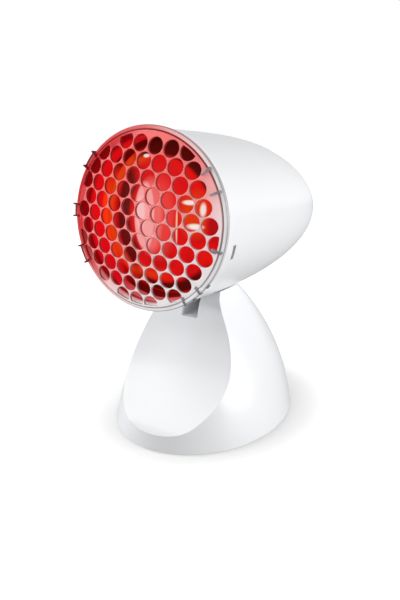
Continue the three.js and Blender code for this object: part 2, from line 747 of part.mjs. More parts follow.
function grilleRing() {
  const skirtOuter = bodyRadius - bodyWall - joinGap;
  const skirtInner = skirtOuter - ringSkirtThickness;
  const skirtEnd = ringThickness + ringSkirtDepth;
  const seat = -grilleRise + grilleSag * (ringStepRadius / ringRadius) ** 2 + grilleThickness + joinGap;
  const ring = turned([[ringStepRadius, 0], [ringRadius - ringChamfer, 0], [ringRadius, ringChamfer],
    [ringRadius, ringThickness], [skirtOuter, ringThickness], [skirtOuter, skirtEnd], [skirtInner, skirtEnd],
    [skirtInner, seat], [ringStepRadius, seat]], ringSides);
  const clips = clipMiddleDegrees.map((middle, at) => ringPart(bodyRadius + joinGap + ringChamfer,
    ringRadius + clipReach, middle, clipHalfDegrees[at], ringChamfer, clipDepth));
  const hookRadius = ringStepRadius - latchHookWidth;
  const hookBack = grilleSag * (hookRadius / ringRadius) ** 2 - grilleRise - joinGap;
  const tongue = ringPart(ringStepRadius, ringRadius - ringChamfer, latchMiddleDegrees, latchHalfDegrees,
    hookBack - latchHeight / 2, ringChamfer);
  const hooks = [-1, 1].map((side) => ringPart(hookRadius, hookRadius + latchHookLength,
    latchMiddleDegrees + side * latchHookTurnDegrees, latchHookHalfDegrees, hookBack - latchHeight, hookBack));
  return joined(ring, ...clips, tongue, ...hooks);
}

// Size and place of the base's outline at a level above the table.
function capeSection(level) {
  const at = level / capeRise;
  return {
    half: capeHalfWidth * polynomial(capeWidthTermShares, at),
    middle: capeMiddle * polynomial(capeMiddleTermShares, at),
    front: capeFrontReach * polynomial(capeFrontTermShares, at),
    rear: capeBackReach * polynomial(capeBackTermShares, at),
  };
}

// Solid of the base's form between levels, drawn in by the inset.
function capeForm(inset, levels) {
  return loft(levels.map((level) => {
    const { half, middle, front, rear } = capeSection(level);
    return Array.from({ length: capeSides }, (_, side) => {
      const angle = 2 * Math.PI * side / capeSides;
      const reach = (Math.sin(angle) < 0 ? front : rear) - inset;
      return new THREE.Vector3((half - inset) * Math.cos(angle), middle + reach * Math.sin(angle), level);
    });
  }));
}

// Solid in front of the scooped face, moved into the base by the inset.
function scoopForm(inset) {
  const lean = radians(scoopLeanDegrees);
  const inward = new THREE.Vector3(0, Math.sin(lean), -Math.cos(lean));
  const depths = shared(scoopReachShares, scoopReach, scoopFootDepth);
  const levels = shared(scoopRiseShares, scoopRise, scoopFootHeight);
  const halves = shared(scoopEdgeShares, scoopHalfWidth);
  const hollows = shared(scoopHollowShares, scoopDeepness);
  const width = capeHalfWidth + overrun;
  const strip = (depth, level, half, hollow) => Array.from({ length: scoopColumns + 1 }, (_, column) => {
    const at = (2 * column / scoopColumns - 1);
    const x = at * half;
    return new THREE.Vector3(x, depth, level).addScaledVector(inward, hollow * (1 - at ** 2) + inset);
  });
  const faces = depths.map((depth, row) => {
    const middle = strip(depth, levels[row], halves[row], hollows[row]);
    const ends = [-1, 1].map((side) => new THREE.Vector3(side * width, depth, levels[row])
      .addScaledVector(inward, inset));
    return [ends[0], ...middle, ends[1]];
  });
  const outer = faces.map((face) => face.map((point) => point.clone()
    .addScaledVector(inward, -capeRise - capeFrontReach)));
  return loft(faces.map((face, row) => [...[...face].reverse(), ...outer[row]]));
}

const capeTopLevels = () => shared(capeLevelShares, capeRise);
const slotOuter = slotHalfWidth + slotCheek;
const slotBackDepth = pivotDepth + armKnuckleRadius + armTurnGap + slotBackWall;
const slotUnder = slotFloorHeight - slotFloorThickness;

// Levels of the base's floor, from the table up.
const plateLevel = footHeight + joinGap;
const plateTop = plateLevel + plateThickness;
const ballastLevel = plateTop + joinGap;
const ballastTop = ballastLevel + ballastThickness;
const postFootLevel = ballastTop + joinGap;
const quadrantLow = pivotHeight - quadrantRadius;
const plungerTop = quadrantLow - joinGap;
const postTop = plungerTop - postTopDrop;

const capeFrontEnd = capeMiddle - capeFrontReach;
const capeBackEnd = capeMiddle + capeBackReach;
const columnFrontDepth = capeFrontEnd + columnFrontEndInset;
const columnBackDepth = capeBackEnd - columnBackEndInset;
const footFrontDepth = capeFrontEnd + footFrontInset;
const footBackDepth = capeBackEnd - footBackInset;
const columnSpacingFront = capeHalfWidth - columnFrontInset;
const columnSpacingBack = capeHalfWidth - columnBackInset;
const footSpacing = capeHalfWidth - footInset;
const columnPlaces = [
  [-columnSpacingFront, columnFrontDepth], [columnSpacingFront, columnFrontDepth],
  [-columnSpacingBack, columnBackDepth], [columnSpacingBack, columnBackDepth],
];
const footPlaces = [
  [-footSpacing, footFrontDepth], [footSpacing, footFrontDepth],
  [-footSpacing, footBackDepth], [footSpacing, footBackDepth],
];

// Frame on the back of the base at a level: outward along Y, up along the wall.
function backFrame(level) {
  const wallAt = (at) => capeSection(at).middle + capeSection(at).rear;
  const lean = Math.atan2(wallAt(level - wallSpan / 2) - wallAt(level + wallSpan / 2), wallSpan);
  return new THREE.Matrix4().makeRotationX(lean).setPosition(0, wallAt(level), level);
}

const switchFrame = backFrame(switchLevel);
const glandFrame = backFrame(glandLevel);
const postScrewPlaces = [[0, pivotDepth - postScrewSpacing], [0, pivotDepth + postScrewSpacing]];
const passageEnd = new THREE.Vector3(0, pivotStation + passageEndOffset, pivotRise - passageEndDrop)
  .applyMatrix4(headFrame);
const upHole = (radius, from, to, [x, y]) => upright(rod(radius, from, to, 0, tinySides)).translate(x, y, 0);

// Base casing without its openings: the scooped and saddled form, and the space inside it.
function capeOutside() {
  return solidOf(capeForm(0, [capeFootGap, ...capeTopLevels().slice(1)]))
    .subtract(solidOf(scoopForm(0))).subtract(headSweep(saddleGap));
}

const capeLevels = () => [-overrun, ...capeTopLevels().slice(1)];

function capeInside() {
  return solidOf(capeForm(capeWall, capeLevels()))
    .subtract(solidOf(scoopForm(capeWall))).subtract(headSweep(saddleGap + capeWall));
}

function baseShell() {
  const outside = capeOutside();
  const columns = columnPlaces.map((place) => solidOf(
    upHole(columnRadius, ballastLevel, slotFloorHeight, place)).intersect(outside));
  const shell = columns.reduce((sum, column) => sum.add(column), outside.subtract(capeInside()));
  const bores = columnPlaces.map((place) => upHole(boreRadius, 0, ballastLevel + columnScrewLength, place));
  const slotWidth = slotOuter + joinGap;
  const slot = block([-slotWidth, scoopFootDepth, slotUnder - joinGap],
    [slotWidth, slotBackDepth + joinGap, capeRise]);
  const switchOpening = block([-switchHalfWidth - joinGap, -switchDepth, -switchHalfHeight - joinGap],
    [switchHalfWidth + joinGap, overrun, switchHalfHeight + joinGap]).applyMatrix4(switchFrame);
  const glandOpening = rod(glandRadius + joinGap, -overrun, overrun, 0, smallSides).applyMatrix4(glandFrame);
  const clipRoomReach = slotOuter + clipThickness + 2 * joinGap;
  const clipRoom = crosswise(rod(clipRadius + joinGap, -clipRoomReach, clipRoomReach))
    .translate(0, pivotDepth, pivotHeight);
  return cut(shell, ...bores, slot, clipRoom, switchOpening, glandOpening);
}

function slotFrame() {
  const channel = solidOf(block([-slotOuter, slotFrontDepth, slotUnder], [slotOuter, slotBackDepth, capeRise]));
  const hollow = block([-slotHalfWidth, scoopFootDepth, slotFloorHeight],
    [slotHalfWidth, slotBackDepth - slotBackWall, capeRise]);
  const windowHalf = (pivotHeight - slotUnder) * Math.tan(radians(quadrantBackDegrees)) + 2 * joinGap;
  const quadrantWindow = block([-slotWindowHalfWidth, pivotDepth - windowHalf, slotUnder - overrun],
    [slotWindowHalfWidth, pivotDepth + windowHalf, slotFloorHeight + overrun]);
  const axleBore = crosswise(rod(axleRadius + joinGap, -slotOuter - overrun, slotOuter + overrun))
    .translate(0, pivotDepth, pivotHeight);
  const cableBore = upHole(passageRadius, slotUnder - overrun, slotFloorHeight + overrun, [0, passageEnd.y]);
  return cut(capeOutside().intersect(channel), hollow, quadrantWindow, axleBore, cableBore);
}

function pivotAxle() {
  const reach = slotOuter + axleOverhang;
  return crosswise(rod(axleRadius, -reach, reach)).translate(0, pivotDepth, pivotHeight);
}

function axleClip(side) {
  const from = slotOuter + joinGap;
  const ring = crosswise(rod(clipRadius, from, from + clipThickness, axleRadius + joinGap, smallSides));
  return ring.rotateZ(side < 0 ? Math.PI : 0).translate(0, pivotDepth, pivotHeight);
}

// Plate of the base's outline between two levels, drawn in by the inset.
function floorPlate(inset, low, high) {
  const reach = capeHalfWidth + capeFrontReach;
  return solidOf(capeForm(inset, capeLevels()))
    .intersect(solidOf(block([-reach, -reach, low], [reach, 2 * reach, high])));
}

function basePlate() {
  return cut(floorPlate(capeWall + joinGap, plateLevel, plateTop), ...[...columnPlaces, ...postScrewPlaces]
    .map((place) => upHole(boreRadius, 0, ballastTop, place)));
}

function ballastPlate() {
  return cut(floorPlate(ballastInset, ballastLevel, ballastTop),
    ...postScrewPlaces.map((place) => upHole(boreRadius, 0, postTop, place)));
}

function detentPost() {
  const boreRadiusOfPost = plungerRadius + joinGap;
  const footTop = postFootLevel + postFootThickness;
  const post = solidOf(upright(turned([[0, postFootLevel], [postFootRadius, postFootLevel],
    [postFootRadius, footTop], [postRadius, footTop], [postRadius, postTop], [boreRadiusOfPost, postTop],
    [boreRadiusOfPost, postTop - postBoreDepth], [0, postTop - postBoreDepth]])).translate(0, pivotDepth, 0));
  return cut(post, ...postScrewPlaces.map((place) => upHole(boreRadius, 0, footTop + overrun, place)));
}

function detentPlunger() {
  const shoulder = postTop - joinGap;
  const end = plungerTop - plungerNoseLength - plungerLength;
  const nose = arc([0, plungerTop - plungerNoseRadius], plungerNoseRadius, 0, 90, 4);
  return upright(turned([[0, end], [plungerRadius, end], [plungerRadius, shoulder],
    [plungerNoseRadius, shoulder], ...nose.slice(0, -1), [0, plungerTop]], smallSides))
    .translate(0, pivotDepth, 0);
}

function detentSpring() {
  const low = postTop - postBoreDepth + joinGap;
  const high = plungerTop - plungerNoseLength - plungerLength - joinGap;
  return upright(rod(plungerRadius, low, high, plungerRadius - springWall, smallSides))
    .translate(0, pivotDepth, 0);
}

function postScrew([x, y]) {
  const headLevel = postFootLevel + postFootThickness + joinGap + screwHeadHeight;
  return screw(headLevel - screwHeadHeight - plateLevel - joinGap).rotateX(-Math.PI / 2)
    .translate(x, y, headLevel);
}

const baseScrew = ([x, y]) => upright(screw(columnScrewLength, plateLevel - joinGap - screwHeadHeight))
  .translate(x, y, 0);
const rubberFoot = ([x, y]) => upright(rod(footRadius, 0, footHeight, 0, smallSides)).translate(x, y, 0);

function switchHousing() {
  const rimWidth = switchHalfWidth + switchLip;
  const rimHeight = switchHalfHeight + switchLip;
  const body = joined(block([-switchHalfWidth, -switchDepth, -switchHalfHeight],
    [switchHalfWidth, switchRim, switchHalfHeight]),
  block([-rimWidth, joinGap, -rimHeight], [rimWidth, joinGap + switchRim, rimHeight]));
  return cut(body, block(
    [switchWall - switchHalfWidth, switchWall - switchDepth, switchWall - switchHalfHeight],
    [switchHalfWidth - switchWall, overrun, switchHalfHeight - switchWall])).transform(switchFrame.toArray());
}

function switchRocker() {
  const high = switchHalfHeight - switchWall - rockerClearance;
  const outline = [[-rockerRootDepth, -high / 2], [rockerBulge - rockerDrop, -high],
    [rockerBulge - rockerDrop / 2 - joinGap, 0], [rockerBulge, high], [-rockerRootDepth, high / 2]];
  return sidePlate(outline, switchHalfWidth - switchWall - joinGap).applyMatrix4(switchFrame);
}

function switchTerminal(side) {
  const end = -switchDepth - joinGap;
  return block([side * terminalSpacing - terminalThickness / 2, end - terminalLength, -terminalWidth / 2],
    [side * terminalSpacing + terminalThickness / 2, end, terminalWidth / 2]).applyMatrix4(switchFrame);
}

function cordGland() {
  return turned([[glandBoreRadius, joinGap + glandFlangeThickness],
    [glandRadius + glandFlange, joinGap + glandFlangeThickness], [glandRadius + glandFlange, joinGap],
    [glandRadius, joinGap], [glandRadius, -capeWall - glandTail], [glandBoreRadius, -capeWall - glandTail]])
    .applyMatrix4(glandFrame);
}

const blockFrontDepth = capeBackEnd - blockBackRoom;
const terminalBlock = () => block([-blockHalfWidth, blockFrontDepth, plateTop + joinGap],
  [blockHalfWidth, blockFrontDepth + blockDepth, plateTop + joinGap + blockHeight]);

function buildHead() {
  const head = new THREE.Group();
  head.position.z = headAxisHeight;
  head.rotation.x = -headTilt;
  head.add(
    piece('head_shell', headShell(), finishes.whiteShell),
    piece('heat_shield', heatShield(), finishes.aluminium),
    piece('lamp_bracket', holderBar(), finishes.steel),
    piece('bracket_screw_left', holderScrew(-1), finishes.steel),
    piece('bracket_screw_right', holderScrew(1), finishes.steel),
    piece('socket_body', holderBody(), finishes.ceramic),
    piece('socket_shell', holderShell(), finishes.brass),
    piece('socket_contact', rod(contactRadius, holderContactStation,
      holderContactStation + holderContactThickness, 0, smallSides), finishes.brass),
    piece('bulb_glass', bulbGlass(), finishes.redGlass),
    piece('bulb_cap', bulbCap(), finishes.brass),
    piece('bulb_insulator', bulbInsulator(), finishes.blackMoulding),
    piece('bulb_contact', bulbContact(), finishes.brass),
    piece('bulb_stem', bulbStem(), finishes.clearGlass),
    piece('bulb_filament', bulbFilament(), finishes.tungsten),
    piece('pivot_arm', pivotArm(), finishes.grayMoulding),
    piece('arm_screw_left', armScrew(-1), finishes.steel),
    piece('arm_screw_right', armScrew(1), finishes.steel),
    piece('detent_quadrant', detentQuadrant(), finishes.steel),
    piece('pivot_bush', pivotBush(), finishes.brass),
    piece('head_cable', cable(routeFrom(headCableStart, headCableFromPivot, [pivotStation, pivotRise]),
      cableRadius), finishes.cableSheath),
    piece('grille', grille(), finishes.clearPlastic),
    piece('grille_ring', grilleRing(), finishes.clearPlastic),
  );
  return head;
}

function buildBase() {
  const base = new THREE.Group();
  base.add(
    piece('base_shell', baseShell(), finishes.whiteShell),
    piece('slot_frame', slotFrame(), finishes.whiteShell),
    piece('pivot_axle', pivotAxle(), finishes.steel),
    piece('axle_clip_left', axleClip(-1), finishes.steel),
    piece('axle_clip_right', axleClip(1), finishes.steel),
    piece('base_plate', basePlate(), finishes.grayMoulding),
    piece('ballast_plate', ballastPlate(), finishes.iron),
    piece('detent_post', detentPost(), finishes.aluminium),
    piece('detent_plunger', detentPlunger(), finishes.steel),
    piece('detent_spring', detentSpring(), finishes.steel),
    piece('switch_housing', switchHousing(), finishes.blackMoulding),
    piece('switch_rocker', switchRocker(), finishes.blackMoulding),
    piece('switch_terminal_left', switchTerminal(-1), finishes.brass),
    piece('switch_terminal_right', switchTerminal(1), finishes.brass),
    piece('terminal_block', terminalBlock(), finishes.blackMoulding),
    piece('cord_gland', cordGland(), finishes.grayMoulding),
    piece('base_cable', cable(routeFrom(baseCableStart, baseCableFromPivot,
      [pivotDepth, pivotHeight]), cableRadius), finishes.cableSheath),
    ...postScrewPlaces.map((place, at) => piece(`post_screw_${at + 1}`, postScrew(place), finishes.steel)),
    ...columnPlaces.map((place, at) => piece(`base_screw_${at + 1}`, baseScrew(place), finishes.steel)),
    ...footPlaces.map((place, at) => piece(`rubber_foot_${at + 1}`, rubberFoot(place), finishes.rubber)),
  );
  return base;
}

const lamp = new THREE.Group();
lamp.name = 'infrared_lamp';
lamp.add(buildHead(), buildBase());
lamp.updateMatrixWorld(true);
const middle = new THREE.Box3().setFromObject(lamp, true).getCenter(new THREE.Vector3());
lamp.position.set(-middle.x, -middle.y, 0);

export default lamp;
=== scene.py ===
"""Infrared heat therapy lamp: a white bullet head with a glowing clear grille on a flared base.

Lengths are in millimetres until a mesh is made, in the frame of the front view: X to the right,
Y to the back from the middle of the grille's rim, Z up from the table. Object space is that frame
in metres, moved so that the middle of the lamp lies over the origin.
"""
import json
import logging
import math
from dataclasses import dataclass, field
from enum import Enum
from typing import Callable, Optional, Sequence, Union

import bpy
import numpy as np
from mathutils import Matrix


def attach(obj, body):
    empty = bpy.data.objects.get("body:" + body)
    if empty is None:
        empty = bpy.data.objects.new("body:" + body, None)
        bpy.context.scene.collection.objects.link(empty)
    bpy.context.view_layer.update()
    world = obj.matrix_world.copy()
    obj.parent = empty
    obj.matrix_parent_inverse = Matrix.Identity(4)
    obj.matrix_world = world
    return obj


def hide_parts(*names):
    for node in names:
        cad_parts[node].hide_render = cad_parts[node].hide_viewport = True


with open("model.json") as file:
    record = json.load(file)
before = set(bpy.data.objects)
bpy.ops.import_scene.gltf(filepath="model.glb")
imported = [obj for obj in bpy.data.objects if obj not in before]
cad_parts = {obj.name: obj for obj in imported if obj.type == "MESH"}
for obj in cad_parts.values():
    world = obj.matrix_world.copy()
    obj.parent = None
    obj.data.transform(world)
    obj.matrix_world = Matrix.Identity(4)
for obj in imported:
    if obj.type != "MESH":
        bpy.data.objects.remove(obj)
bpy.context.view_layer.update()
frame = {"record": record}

log = logging.getLogger("lamp")

Color = tuple[float, float, float]
Place = tuple[float, float, float]
Pair = tuple[float, float]
Stops = Sequence[tuple[float, Color]]
Corners = tuple[Place, Place]
Terms = tuple[float, float, float, float]
Section = tuple[Pair, Pair]
Block = tuple[float, Pair, float]
Mover = Callable[[np.ndarray], np.ndarray]
Thing = bpy.types.Object
Socket = bpy.types.NodeSocket

MM = 0.001
MIDDLE_DEPTH = 82.179
ON_AXIS = 1e-6
FILLET_STEPS = 4
FILLET_SHARE = 0.45
BEVEL_STEPS = 2
ROD_SIDES = 32
UPRIGHT = (0, 2, 1)
CROSSWISE = (1, 0, 2)
WHITE = (1.0, 1.0, 1.0)


class Body(Enum):
    """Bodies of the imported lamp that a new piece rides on."""

    BASE = "base"
    HEAD = "head"
    GUARD = "guard"
    ROCKER = "rocker"


# Places and frames

def to_object(points: np.ndarray) -> np.ndarray:
    """Points of the front-view frame in millimetres, as object space in metres.

    Args:
        points: Array whose last axis holds x, y and z.

    Returns:
        The same points in metres, moved over the origin.
    """
    return (np.asarray(points, float) - np.array([0.0, MIDDLE_DEPTH, 0.0])) * MM


def tipped(origin: Pair, degrees: float, onward: Mover = to_object) -> Mover:
    """Frame that keeps X and has its other two axes tipped.

    Args:
        origin: Its origin, back and up, in the frame that it stands in.
        degrees: Angle that it is tipped, from the back towards the top.
        onward: Turns points of the frame that it stands in into what is wanted.

    Returns:
        Function that takes points of the tipped frame, in millimetres, and hands them onward.
    """
    cosine, sine = math.cos(math.radians(degrees)), math.sin(math.radians(degrees))

    def place(points: np.ndarray) -> np.ndarray:
        """Points of the tipped frame, handed onward."""
        x, along, up = np.moveaxis(np.asarray(points, float), -1, 0)
        return onward(np.stack([x, origin[0] + along * cosine - up * sine,
                                origin[1] + along * sine + up * cosine], -1))

    return place


def swapped(order: Sequence[int], origin: Sequence[float]) -> Mover:
    """Frame of a turned body whose axis runs another way.

    Args:
        order: Which of the body's coordinates runs along X, Y and Z.
        origin: Where the body's origin goes, in millimetres.

    Returns:
        Function from that frame, in millimetres, to object space.
    """
    def place(points: np.ndarray) -> np.ndarray:
        """Points of the body's frame, as object space in metres."""
        return to_object(points[..., list(order)] + np.asarray(origin))

    return place


@dataclass(frozen=True)
class HeadAxis:
    """Line through the middle of the head, nose up a little."""

    height: float = 149.56
    tilt_degrees: float = 3.61

    def place(self, points: np.ndarray, onward: Mover = np.asarray) -> np.ndarray:
        """Turn points given as x, distance behind the rim and height over the axis.

        Args:
            points: Array whose last axis holds those three, in millimetres.
            onward: Turns points of the front-view frame into what is wanted.

        Returns:
            The points in the front-view frame, in millimetres, or what onward makes of them.
        """
        return tipped((0.0, self.height), -self.tilt_degrees, onward)(points)

    def to_object(self, points: np.ndarray) -> np.ndarray:
        """Points along the head's axis, as object space in metres."""
        return self.place(points, to_object)


AXIS = HeadAxis()


# Meshes

def make_mesh(name: str, points: np.ndarray, faces: Sequence[Sequence[int]]) -> Thing:
    """Object with a mesh of the given points and faces, in metres.

    Args:
        name: Name of the object and its mesh.
        points: Corner places, one row each.
        faces: Corner numbers of each face, counterclockwise from outside.

    Returns:
        The new object, linked to the scene.
    """
    mesh = bpy.data.meshes.new(name)
    mesh.from_pydata(np.asarray(points, float).tolist(), [], [list(map(int, face)) for face in faces])
    mesh.validate()
    return link_thing(name, mesh)


def link_thing(name: str, data: bpy.types.ID) -> Thing:
    """New object linked to the scene.

    Args:
        name: Its name.
        data: Its mesh, curve, lamp or camera.

    Returns:
        The object.
    """
    thing = bpy.data.objects.new(name, data)
    bpy.context.scene.collection.objects.link(thing)
    return thing


def grid_faces(rows: int, columns: int, close_rows: bool = False) -> np.ndarray:
    """Quads of a stack of closed rings whose points are numbered ring by ring.

    Args:
        rows: Number of rings.
        columns: Number of points in a ring.
        close_rows: Whether the last ring joins the first.

    Returns:
        Array of quads, four corner numbers each.
    """
    row, column = np.meshgrid(np.arange(rows if close_rows else rows - 1), np.arange(columns), indexing="ij")
    next_row, next_column = (row + 1) % rows, (column + 1) % columns
    return np.stack([row * columns + column, row * columns + next_column,
                     next_row * columns + next_column, next_row * columns + column], -1).reshape(-1, 4)


def ring_body(name: str, grid: np.ndarray, closed: bool = False) -> Thing:
    """Body from a stack of closed rings, its ends closed by fans unless the stack is a loop.

    Args:
        name: Name of the object.
        grid: Ring, place in the ring and coordinate, in metres.
        closed: Whether the last ring joins the first.

    Returns:
        The new object, its faces pointing outwards.
    """
    rows, columns = grid.shape[:2]
    points = grid.reshape(-1, 3)
    faces = grid_faces(rows, columns, closed).tolist()
    if not closed:
        points = np.vstack([points, grid[0].mean(0), grid[-1].mean(0)])
        ring = np.arange(columns)
        following = (ring + 1) % columns
        last = (rows - 1) * columns
        faces += np.stack([following, ring, np.full(columns, rows * columns)], -1).tolist()
        faces += np.stack([last + ring, last + following, np.full(columns, rows * columns + 1)], -1).tolist()
    return point_outwards(make_mesh(name, points, faces))


def point_outwards(thing: Thing) -> Thing:
    """Turn all faces round where the mesh holds a negative volume.

    Args:
        thing: Object with one closed mesh.

    Returns:
        The same object.
    """
    mesh = thing.data
    mesh.calc_loop_triangles()
    corners = np.empty(len(mesh.vertices) * 3)
    mesh.vertices.foreach_get("co", corners)
    index = np.empty(len(mesh.loop_triangles) * 3, np.int32)
    mesh.loop_triangles.foreach_get("vertices", index)
    a, b, c = corners.reshape(-1, 3)[index.reshape(-1, 3)].transpose(1, 0, 2)
    if float(np.einsum("ij,ij->i", a, np.cross(b, c)).sum()) < 0:
        mesh.flip_normals()
    return thing


def circle(radius: float, sides: int) -> np.ndarray:
    """Points of a circle round the origin, one row each, counterclockwise from the right."""
    angle = np.linspace(0, 2 * np.pi, sides, endpoint=False)
    return radius * np.column_stack([np.cos(angle), np.sin(angle)])


def revolved(outline: Sequence[Sequence[float]], sides: int) -> np.ndarray:
    """Rings of an outline turned round an axis.

    Each point at radius r and distance d becomes the ring (r sin a, d, r cos a).

    Args:
        outline: Radius and distance pairs, in order.
        sides: Points in each ring.

    Returns:
        Grid of ring, place in the ring and coordinate.
    """
    radius, along = np.asarray(outline, float).T
    angle = np.linspace(0, 2 * np.pi, sides, endpoint=False)
    return np.stack([radius[:, None] * np.sin(angle), np.repeat(along[:, None], sides, 1),
                     radius[:, None] * np.cos(angle)], -1)


def turned(name: str, outline: Sequence[Sequence[float]], place: Mover, sides: int) -> Thing:
    """Body turned round an axis from a closed outline, which may start and end on the axis.

    Args:
        name: Name of the object.
        outline: Radius and distance pairs, in order round the section.
        place: Turns the rings into object space.
        sides: Points in each ring.

    Returns:
        The new object.
    """
    rings = revolved(outline, sides)
    if outline[0][0] < ON_AXIS and outline[-1][0] < ON_AXIS:
        return ring_body(name, place(rings[1:-1]))
    return ring_body(name, place(rings), closed=True)


def rod(name: str, radius: float, ends: Pair, place: Mover) -> Thing:
    """Round rod between two distances along its axis, for cutting.

    Args:
        name: Name of the object.
        radius: Its radius.
        ends: Where it starts and ends along the axis.
        place: Turns its rings into object space.

    Returns:
        The new object.
    """
    low, high = ends
    return turned(name, [(0, low), (radius, low), (radius, high), (0, high)], place, ROD_SIDES)


def rounded(corners: Sequence[Sequence[float]], size: float) -> list[list[float]]:
    """Closed outline with each corner replaced by a short curve.

    The curve is the parabola whose ends lie a fillet length away along both sides.

    Args:
        corners: Corner points in order.
        size: Longest fillet length.

    Returns:
        The points of the rounded outline.
    """
    points = np.asarray(corners, float)
    before, after = np.roll(points, 1, 0) - points, np.roll(points, -1, 0) - points
    lengths = [np.linalg.norm(side, axis=1, keepdims=True) for side in (before, after)]
    reach = np.minimum(size, FILLET_SHARE * np.minimum(*lengths))
    start, end = points + before / lengths[0] * reach, points + after / lengths[1] * reach
    at = np.linspace(0, 1, FILLET_STEPS + 1)[None, :, None]
    curve = (1 - at) ** 2 * start[:, None] + 2 * at * (1 - at) * points[:, None] + at ** 2 * end[:, None]
    return curve.reshape(-1, 2).tolist()


def smoothed(values: np.ndarray, half_width: int, rounds: int = 1) -> np.ndarray:
    """Values averaged over their neighbours, with both ends held.

    Args:
        values: Row of values.
        half_width: Neighbours taken in on each side.
        rounds: How often they are averaged.

    Returns:
        The smoothed row, as long as before.
    """
    count = 2 * half_width + 1
    for _ in range(rounds):
        padded = np.concatenate([2 * values[0] - values[half_width:0:-1], values,
                                 2 * values[-1] - values[-2:-2 - half_width:-1]])
        values = np.convolve(padded, np.ones(count) / count, "valid")
    return values


def prism(name: str, grid: np.ndarray) -> Thing:
    """Body from a stack of like outlines, the first and the last closed by one face each.

    Args:
        name: Name of the object.
        grid: Outline, place in the outline and coordinate, in metres.

    Returns:
        The new object.
    """
    rows, columns = grid.shape[:2]
    first = list(range(columns))
    last = [(rows - 1) * columns + corner for corner in first]
    faces = grid_faces(rows, columns).tolist() + [first[::-1], last]
    return point_outwards(make_mesh(name, grid.reshape(-1, 3), faces))


def box_body(name: str, low: Sequence[float], high: Sequence[float], place: Mover = to_object) -> Thing:
    """Plain box between two corners, for cutting and for parts that get a bevel.

    Args:
        name: Name of the object.
        low: Lowest corner, in millimetres.
        high: Highest corner, in millimetres.
        place: Turns the corners into object space.

    Returns:
        The new object.
    """
    (x0, y0, z0), (x1, y1, z1) = low, high
    ring = [[x0, y0], [x1, y0], [x1, y1], [x0, y1]]
    return prism(name, place(np.array([[[*corner, z] for corner in ring] for z in (z0, z1)], float)))


def plate_body(name: str, outline: Sequence[Sequence[float]], half_width: float, place: Mover) -> Thing:
    """Plate across X with a side outline of back and up pairs.

    Args:
        name: Name of the object.
        outline: Points of the outline in order, in millimetres.
        half_width: Half of its thickness.
        place: Turns the points into object space.

    Returns:
        The new object.
    """
    sides = [[[x, *point] for point in outline] for x in (-half_width, half_width)]
    return prism(name, place(np.array(sides)))


def settle(thing: Thing) -> None:
    """Apply an object's modifiers to its mesh.

    Args:
        thing: Object whose evaluated mesh replaces its own.
    """
    graph = bpy.context.evaluated_depsgraph_get()
    graph.update()
    mesh = bpy.data.meshes.new_from_object(thing.evaluated_get(graph))
    old = thing.data
    thing.modifiers.clear()
    thing.data = mesh
    bpy.data.meshes.remove(old)


def carve(thing: Thing, tools: Sequence[Thing], operation: str = "DIFFERENCE") -> None:
    """Cut tools out of an object, or join or keep what they share, and delete the tools.

    Args:
        thing: Object that changes.
        tools: Closed bodies.
        operation: Name of the boolean operation.
    """
    for tool in tools:
        cutter = thing.modifiers.new("carve", "BOOLEAN")
        cutter.operation, cutter.solver, cutter.object = operation, "EXACT", tool
        settle(thing)
        bpy.data.objects.remove(tool)


def soften(thing: Thing, width: float = 0.0, sharp_degrees: float = 32.0) -> None:
    """Round the sharp edges and shade the rest smoothly.

    Args:
        thing: Object that changes.
        width: Bevel width in millimetres, none where it is zero.
        sharp_degrees: Angle over which an edge counts as sharp.
    """
    if width > 0:
        bevel = thing.modifiers.new("round", "BEVEL")
        bevel.width, bevel.segments = width * MM, BEVEL_STEPS
        bevel.limit_method, bevel.angle_limit = "ANGLE", math.radians(sharp_degrees)
        settle(thing)
    mesh = thing.data
    mesh.polygons.foreach_set("use_smooth", np.ones(len(mesh.polygons), bool))
    mesh.set_sharp_from_angle(angle=math.radians(sharp_degrees))


# Node trees

